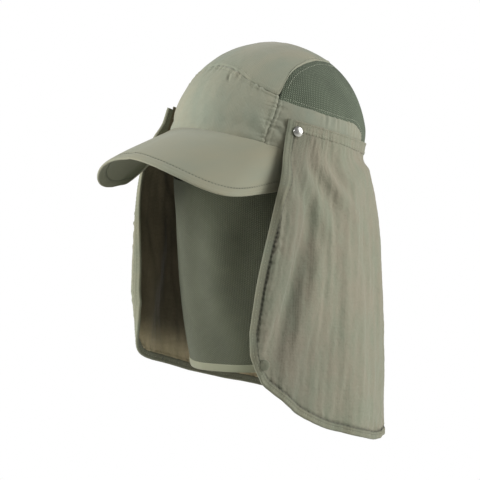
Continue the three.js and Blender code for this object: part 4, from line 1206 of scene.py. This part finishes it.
def inset_outline(across, depth, distance):
    """The outline moved inwards over the cloth, square to its own direction, which is averaged over
    a few points so that the tape turns the corners without a crease."""
    scale = cloth_width(across, depth)
    run = np.gradient(across) * scale
    drop = np.gradient(depth)
    length = np.hypot(run, drop)
    near = np.ones(TURN_POINTS) / TURN_POINTS
    run, drop = (np.convolve(np.pad(part / length, TURN_POINTS // 2, "edge"), near, "valid")
                 for part in (run, drop))
    length = np.hypot(run, drop)
    return across - drop / length * distance / scale, depth + run / length * distance


def u_section(half_thickness):
    """Inset and height of a U: straight up one side, a half circle round the edge, straight up the
    other. All circles have the same centre, so a thinner U lies inside a thicker one."""
    straight = np.linspace(BINDING_WIDTH, BINDING_HALF, SECTION_STEPS)
    turn = np.linspace(0, np.pi, 9)[1:-1]
    inset = np.concatenate([straight, BINDING_HALF - half_thickness * np.sin(turn), straight[::-1]])
    height = np.concatenate([np.full(SECTION_STEPS, half_thickness), half_thickness * np.cos(turn),
                             np.full(SECTION_STEPS, -half_thickness)])
    return inset, height


def bound_edge(half_thickness):
    """The U section carried along the outline: each point is the draped cloth at the inset outline,
    moved along its normal by the section's height, with small ripples from the sewing."""
    across, depth = flap_outline()
    steps = np.linalg.norm(np.diff(flap_base(across, depth), axis=0), axis=1)
    run = np.concatenate([[0], np.cumsum(steps)])
    columns = []
    for inset, height in zip(*u_section(half_thickness)):
        a, d = inset_outline(across, depth, inset)
        normal = surface_normal(flap_drape, a, d)
        swell = TAPE_PUFF * (ridge(inset, 1.8, 1.6) + ridge(inset, 5.6, 1.6)) * np.sign(height)
        ripple = 0.16 * np.sin(2 * np.pi * run / 3.6 + 2 * wander(run, 0 * run, 30, 91)) * ridge(inset, 4, 5)
        columns.append(flap_drape(a, d) + normal * (height - TAPE_SINK + swell + ripple)[:, None])
    return np.stack(columns, axis=1)


outer = bound_edge(BINDING_HALF)
inner = bound_edge(BINDING_HALF - TAPE_THICKNESS)
steps = np.linalg.norm(np.diff(outer[:, 0], axis=0), axis=1)
run = np.concatenate([[0], np.cumsum(steps)])[:, None] * np.ones((1, outer.shape[1]))
rise = np.linspace(0, 2 * BINDING_WIDTH, outer.shape[1])[None, :] * np.ones((outer.shape[0], 1))
inset, height = u_section(BINDING_HALF)
# Painted light on the right front edge; painted shadow along the inner edge and in the stitch groove;
# painted shade on the inside of the U.
pulled = 0.75 + 0.25 * np.sin(2 * np.pi * run / 4.3 + 2 * wander(run, 0 * run, 25, 92))
painted_light_right = smooth((run / run[-1] - 0.74) / 0.04)
painted_edge_shadow = 0.65 * pulled * ridge(inset, BINDING_WIDTH, 0.7)
painted_groove_shade = 0.2 * ridge(inset, 4.8, 0.7)
tone = (TAPE_RIGHT_PAINTED_LIGHT * painted_light_right - painted_edge_shadow - painted_groove_shade) * (height > 0) - 0.1 * (height < 0)
binding = shell("flap_binding_tape", outer, inner, cloth_uv(run, rise), tape_cloth,
                ["flap_binding"], tone=tone, rim=2)
print("binding length", round(float(run[-1, 0])), "mm")

# %% [markdown]
# The top of the flap is folded down twice into a flat band that lies on the crown. It ends at the
# bindings of the front edges, and its lower seam gathers the cloth below.

# %% Band along the flap's top
BAND_OFFSET = 1.5
BAND_INNER_OFFSET = 0.35
BAND_OVERLAP = 0.4


def band_relief(across, height):
    """Raised along both folded edges, with a groove along the upper stitch row and small ripples."""
    share = (height - FLAP_BAND_BOTTOM) / (FLAP_BAND_TOP - FLAP_BAND_BOTTOM)
    run = flap_run(across)
    ripples = 0.2 * np.sin(2 * np.pi * run / 7.1 + 1.4 * wander(run, 0 * run, 30, 101)) * (1 - share)
    seams = 0.5 * ridge(share, 0.08, 0.14) - 0.35 * ridge(share, 0.78, 0.08) + 0.3 * ridge(share, 0.95, 0.1)
    return seams + ripples + 0.2 * wander(run, 0 * run, 18, 102)


along = np.linspace(-1, 1, 420)[:, None]
band_end = 1 - (BINDING_WIDTH - BAND_OVERLAP) / cloth_width(np.sign(along), -4.0)
across = band_end * np.sign(along) * (1 - (1 - np.abs(along)) ** 1.2)
height = np.linspace(FLAP_BAND_BOTTOM, FLAP_BAND_TOP, 16)[None, :]
across, height = np.broadcast_arrays(across, height)
outer = flap_top_point(across, height, BAND_OFFSET + band_relief(across, height))
inner = flap_top_point(across, height, np.full(height.shape, BAND_INNER_OFFSET))
band = shell("flap_band_cloth", outer, inner, cloth_uv(flap_run(across), height * MM_PER_HEIGHT_DEGREE),
             flap_cloth, ["flap_top_band"], shaded_side_material=flap_inside_shade)

# %% [markdown]
# The veil is a fine mesh that hangs inside the flap, round in front of the face. It is light, so it only
# has broad soft waves. Its lower edge is bound with a pale tape.

# %% Veil and its hem
VEIL_HALF_ANGLE = 104
VEIL_TOP_FRONT_Z = -27
VEIL_FRONT_ANGLE = 42
VEIL_RIM_ANGLE = 74
VEIL_HEM_Z = -203
VEIL_HEM_LEAN = 4.5
VEIL_HEM_WIDTH = 6
VEIL_HALF_WIDTH_TOP = 83
VEIL_REACH_TOP = 95
VEIL_HALF_WIDTH_HEM = 72
VEIL_REACH_HEM = 75
VEIL_THICKNESS = 0.8
VEIL_MM_PER_DEGREE = 1.35
HEM_MM_PER_DEGREE = 1.3
VEIL_DROP = 174


def veil_top(angle):
    """Top edge: an ellipse below the eyes in front, eased into the crown's rim at the sides."""
    at_rim = smooth((np.abs(angle) - VEIL_FRONT_ANGLE) / (VEIL_RIM_ANGLE - VEIL_FRONT_ANGLE))[..., None]
    a = np.radians(angle)
    front = np.stack([VEIL_HALF_WIDTH_TOP * np.sin(a), -VEIL_REACH_TOP * np.cos(a),
                      np.full(a.shape, float(VEIL_TOP_FRONT_Z))], axis=-1)
    rim = crown_at(angle, rim_height(angle), np.full(a.shape, -0.3))
    rim[..., 2] -= 0.6
    return front * (1 - at_rim) + rim * at_rim


def veil_surface(angle, down):
    """From the top edge the plan narrows to the hem ellipse with the power 1.6 of the share down, with
    broad waves pushed out along the radius. The hem leans down on the right."""
    top = veil_top(angle)
    narrowing = down ** 1.6
    a = np.radians(angle)
    away = np.stack([np.sin(a), -np.cos(a), 0 * a], axis=-1)
    x = top[..., 0] + (VEIL_HALF_WIDTH_HEM * away[..., 0] - top[..., 0]) * narrowing
    y = top[..., 1] + (VEIL_REACH_HEM * away[..., 1] - top[..., 1]) * narrowing
    z = top[..., 2] + (VEIL_HEM_Z + VEIL_HEM_LEAN * (np.sin(a) - 0.7) - top[..., 2]) * down
    loose = smooth(down / 0.3) * (1 - 0.7 * smooth((down - 0.85) / 0.15))
    wave = 2.6 * wander(angle * 1.4, down * 70, 52, 111) * loose
    return np.stack([x, y, z], axis=-1) + away * wave[..., None]


hem_share = 1 - VEIL_HEM_WIDTH / (VEIL_TOP_FRONT_Z - VEIL_HEM_Z)
angle = np.linspace(-VEIL_HALF_ANGLE, VEIL_HALF_ANGLE, 230)[:, None] * np.ones((1, 120))
down = np.linspace(0, hem_share + 0.005, 120)[None, :] * np.ones((230, 1))
outer = veil_surface(angle, down)
inner = outer + normals_of(outer) * VEIL_THICKNESS
veil = shell("face_veil_knit", outer, inner, cloth_uv(angle * VEIL_MM_PER_DEGREE, -down * VEIL_DROP),
             veil_knit, ["face_veil"])
angle = np.linspace(-VEIL_HALF_ANGLE, VEIL_HALF_ANGLE, 260)[:, None] * np.ones((1, 12))
down = np.linspace(hem_share, 1, 12)[None, :] * np.ones((260, 1))
puff = 0.3 * np.sin(np.pi * (down - hem_share) / (1 - hem_share))
base = veil_surface(angle, down)
outward = -normals_of(base)
outer = base + outward * (0.5 + puff)[..., None]
inner = base - outward * (1.2 + puff)[..., None]
veil_hem = shell("veil_hem_tape", outer, inner, cloth_uv(angle * HEM_MM_PER_DEGREE, -down * VEIL_DROP),
                 hem_tape_cloth, ["veil_hem"])

# %% [markdown]
# Each press snap is a domed cap set through the cloth. A turned part is a profile of radius and
# height spun about its axis, so one function serves all four, with the two ends of the profile
# closed at poles. The upper caps are bare nickel; the lower ones are covered with the tape's cloth
# and lean forward over the binding.

# %% Press snaps
SNAP_ACROSS = 0.93
SNAP_HEIGHT = 7.6
SNAP_RADIUS = 5.0
LOWER_RADIUS = 5.2
LOWER_SNAP_LEAN = 1.0


def turned(name, profile, place, direction, material, slot, replaced, steps=40):
    """A profile of radius and height, spun about the direction: each point is the place plus the height
    along the axis plus the radius times the cosine and sine along two square directions."""
    radius, height = np.array(profile, float).T
    axis = direction / np.linalg.norm(direction)
    first = np.cross(axis, [0, 0, 1])
    first /= np.linalg.norm(first)
    second = np.cross(axis, first)
    turn = np.linspace(0, 2 * np.pi, steps, endpoint=False)[:, None, None]
    ring = np.cos(turn) * first + np.sin(turn) * second
    points = place + height[1:-1, None] * axis + radius[1:-1, None] * ring
    m = len(profile) - 2
    index = np.arange(steps * m).reshape(steps, m)
    faces = [grid_faces(index, True)]
    ends = [place + height[0] * axis, place + height[-1] * axis]
    for k, column in ((0, 0), (1, -1)):
        pole = np.full(steps, steps * m + k)
        line, ahead = index[:, column], np.roll(index[:, column], -1)
        pair = (line, ahead) if k else (ahead, line)
        faces.append(np.stack([pair[0], pair[1], pole, pole], axis=1))
    points = np.concatenate([points.reshape(-1, 3), ends])
    uv = np.zeros((len(points), 2))
    uv[:steps * m, 0] = np.repeat(np.arange(steps), m) / steps * 2 * np.pi * SNAP_RADIUS * MM
    uv[:steps * m, 1] = np.tile(radius[1:-1], steps) * MM
    return place_mesh(name, points, np.concatenate(faces), uv, np.zeros(len(points)), material,
                      replaced)


def cap_profile(radius, height, post):
    """Profile of a cap from the middle of its top: a piece of a ball that ends at a slope of 30
    degrees, a rolled rim, a flat back and a post."""
    turn = np.radians(np.linspace(3, 30, 9))
    ball = (radius - 0.5) / math.sin(turn[-1])
    dome = [(ball * math.sin(t), height - ball * (1 - math.cos(t))) for t in turn]
    edge = dome[-1][1]
    rim = [(radius - 0.15, edge - 0.35), (radius, edge - 0.8), (radius - 0.3, 0.02)]
    return [(0, height), *dome, *rim, (1.2, 0), (1.2, -post), (0, -post)]


for name, side in (("left", 1), ("right", -1)):
    foot = flap_top_point(np.array(side * SNAP_ACROSS), np.array(SNAP_HEIGHT), np.array(0.0))
    tip = flap_top_point(np.array(side * SNAP_ACROSS), np.array(SNAP_HEIGHT), np.array(1.0))
    out = tip - foot
    turned("snap_upper_" + name + "_nickel", cap_profile(SNAP_RADIUS, 2.6, 2.2), foot + out * 2.9, out,
           nickel, "snap_metal", ["snap_upper_" + name])
    place_across = np.array(LOWER_SNAP_PLACES[name][0])
    place_depth = np.array(LOWER_SNAP_PLACES[name][1])
    foot = flap_drape(place_across, place_depth)
    out = surface_normal(flap_drape, place_across, place_depth) + [0, -LOWER_SNAP_LEAN, 0]
    out /= np.linalg.norm(out)
    profile = cap_profile(LOWER_RADIUS, 2.4, 1.6)[:-1] + [(3.2, -1.62), (3.2, -2.0), (0, -2.1)]
    turned("snap_lower_" + name + "_covered", profile, foot + out * 2.6, out, tape_cloth, "snap_cap",
           ["snap_lower_" + name])

# %% [markdown]
# Stitches: rows run along the seams of the crown, the peak, the binding and the flap's band; the
# veil has none, as none shows in the photograph. A stitch is a short thick dash of thread
# that dips into the cloth at both ends, so a stretched ball of a few faces is enough. One function
# walks along a line of points, sets a stitch every few millimetres and turns it along the line.

# %% Stitch rows
STITCH_RINGS = 4
STITCH_SIDES = 6
BINDING_STITCH_INSET = 4.0


def resample(line, normal, pitch):
    """Points, directions and normals every pitch millimetres along a line."""
    steps = np.linalg.norm(np.diff(line, axis=0), axis=1)
    run = np.concatenate([[0], np.cumsum(steps)])
    places = np.arange(pitch / 2, run[-1], pitch)
    point = np.stack([np.interp(places, run, line[:, k]) for k in range(3)], axis=1)
    ahead = np.stack([np.interp(places + 0.4, run, line[:, k]) for k in range(3)], axis=1)
    behind = np.stack([np.interp(places - 0.4, run, line[:, k]) for k in range(3)], axis=1)
    up = np.stack([np.interp(places, run, normal[:, k]) for k in range(3)], axis=1)
    way = ahead - behind
    way /= np.maximum(np.linalg.norm(way, axis=1, keepdims=True), 1e-9)
    up /= np.maximum(np.linalg.norm(up, axis=1, keepdims=True), 1e-9)
    return point, way, up


def stitches(name, rows, material, pitch=3.0, length=2.0, radius=0.28):
    """Stretched balls along lines: each point is the stitch's centre plus shares of its length along the
    line, its radius across it and its radius along the normal."""
    turn = np.linspace(0, 2 * np.pi, STITCH_SIDES, endpoint=False)
    tilt = np.linspace(0, np.pi, STITCH_RINGS + 2)[1:-1]
    ball = np.stack([np.cos(tilt)[:, None] + 0 * turn, np.sin(tilt)[:, None] * np.cos(turn),
                     np.sin(tilt)[:, None] * np.sin(turn)], axis=-1).reshape(-1, 3)
    ball = np.concatenate([ball, [[1, 0, 0], [-1, 0, 0]]])
    index = np.arange(STITCH_RINGS * STITCH_SIDES).reshape(STITCH_RINGS, STITCH_SIDES).T
    faces = [grid_faces(index, True)]
    for column, pole in ((0, len(ball) - 2), (-1, len(ball) - 1)):
        line, ahead = index[:, column], np.roll(index[:, column], -1)
        end = np.full(STITCH_SIDES, pole)
        pair = (line, ahead) if column else (ahead, line)
        faces.append(np.stack([pair[0], pair[1], end, end], axis=1))
    faces = np.concatenate(faces)
    parts = [resample(line, normal, pitch) for line, normal in rows]
    point, way, up = (np.concatenate([p[k] for p in parts]) for k in range(3))
    side = np.cross(up, way)
    local = ball * np.array([length / 2, radius, radius])
    points = (point[:, None] + local[None, :, :1] * way[:, None] + local[None, :, 1:2] * side[:, None]
              + local[None, :, 2:] * up[:, None]).reshape(-1, 3)
    every = (faces[None] + (np.arange(len(point)) * len(ball))[:, None, None]).reshape(-1, 4)
    print(name, "has", len(point), "stitches")
    return place_mesh(name, points, every, np.zeros((len(points), 2)), np.zeros(len(points)), material,
                      [])


def dome_row(angle, height, relief, lift=0.12):
    """A line on the dome with the relief of its piece, and the dome's normals."""
    line = crown_at(angle, height, relief + lift)
    return line, line - crown_at(angle, height, relief + lift - 1)


rise = np.linspace(-2.5, 25, 120)
seam_rows = []
for side in (-1, 1):
    angle = side * (side_seam(rise) - STITCH_OFFSET / MM_PER_TURN_DEGREE)
    seam_rows.append(dome_row(angle, rise, front_relief(angle, rise)))
angle = np.linspace(-SIDE_SEAM_ANGLE + 1, SIDE_SEAM_ANGLE - 1, 240)
for offset, relief in ((-STITCH_OFFSET, front_relief), (STITCH_OFFSET, top_relief)):
    height = front_seam_height(angle) + offset / MM_PER_HEIGHT_DEGREE
    seam_rows.append(dome_row(angle, height, relief(angle, height)))
arc = np.concatenate([np.linspace(47.6, 60, 90), np.linspace(60.2, 180, 260)])
for side in (-1, 1):
    height = mesh_top_height(arc) + 3.6 / MM_PER_HEIGHT_DEGREE
    seam_rows.append(dome_row(side * arc, height, top_relief(side * arc, height)))
stitches("crown_seam_stitches", seam_rows, thread_sage, pitch=2.8, length=1.9)

mesh_rows = []
for side in (-1, 1):
    arc = np.linspace(50.5, 180, 400)
    height = mesh_top_height(arc - 2.2) - 5 / MM_PER_HEIGHT_DEGREE
    turn = np.where(side > 0, arc, 360 - arc)
    mesh_rows.append(dome_row(turn, height, mesh_relief(turn, height), 0.15))
    arc = np.linspace(49, 131, 240)
    height = side_band_top(arc) + 3.5 / MM_PER_HEIGHT_DEGREE
    turn = np.where(side > 0, arc, 360 - arc)
    mesh_rows.append(dome_row(turn, height, mesh_relief(turn, height), 0.15))
stitches("crown_mesh_stitches", mesh_rows, thread_pale, pitch=2.8, length=1.6, radius=0.42)

# %% Stitches of the peak and the flap
share = np.linspace(-0.995, 0.995, 900)
edge = peak_edge(share)
joint = peak_top(share, 0 * share)
span = np.linalg.norm(edge - joint, axis=1)
out = 1 - PEAK_STITCH_INSET / span
line = peak_top(share, out)
sideways = peak_top(share + 0.002, out) - peak_top(share - 0.002, out)
forward = peak_top(share, out + 0.01) - peak_top(share, out - 0.01)
upward = np.cross(forward, sideways)
upward /= np.linalg.norm(upward, axis=1, keepdims=True)
peak_rows = [(line - upward * 0.3, upward), (line - upward * (PEAK_THICKNESS + 0.05), -upward)]
# The peak's row uses the darker thread: painted shade round the stitches.
stitches("peak_stitches", peak_rows, thread_shade_dark, pitch=3.2, length=1.7, radius=0.45)

across, depth = flap_outline()
a, d = inset_outline(across, depth, BINDING_STITCH_INSET)
normal = surface_normal(flap_drape, a, d)
flap_rows = [(flap_drape(a, d) + normal * 0.9, normal), (flap_drape(a, d) - normal * 1.9, -normal)]
stitches("flap_binding_stitches", flap_rows, thread_sage, pitch=2.8, length=2.0)

across = np.linspace(-0.95, 0.95, 700)
band_rows = []
for share in (0.2, 0.8):
    height = np.full(across.shape, FLAP_BAND_BOTTOM + share * (FLAP_BAND_TOP - FLAP_BAND_BOTTOM))
    line = flap_top_point(across, height, BAND_OFFSET + band_relief(across, height) + 0.1)
    band_rows.append((line, line - flap_top_point(across, height, 0 * across)))
stitches("flap_band_stitches", band_rows, thread_sage, pitch=2.8, length=2.0)

# %% [markdown]
# The box round every shown piece, leaving out the floor, is measured and printed in millimetres.

# %% Measure the visual box
low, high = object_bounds()
print("visual box in mm:", [round(1000 * v) for v in (*low, *high)])
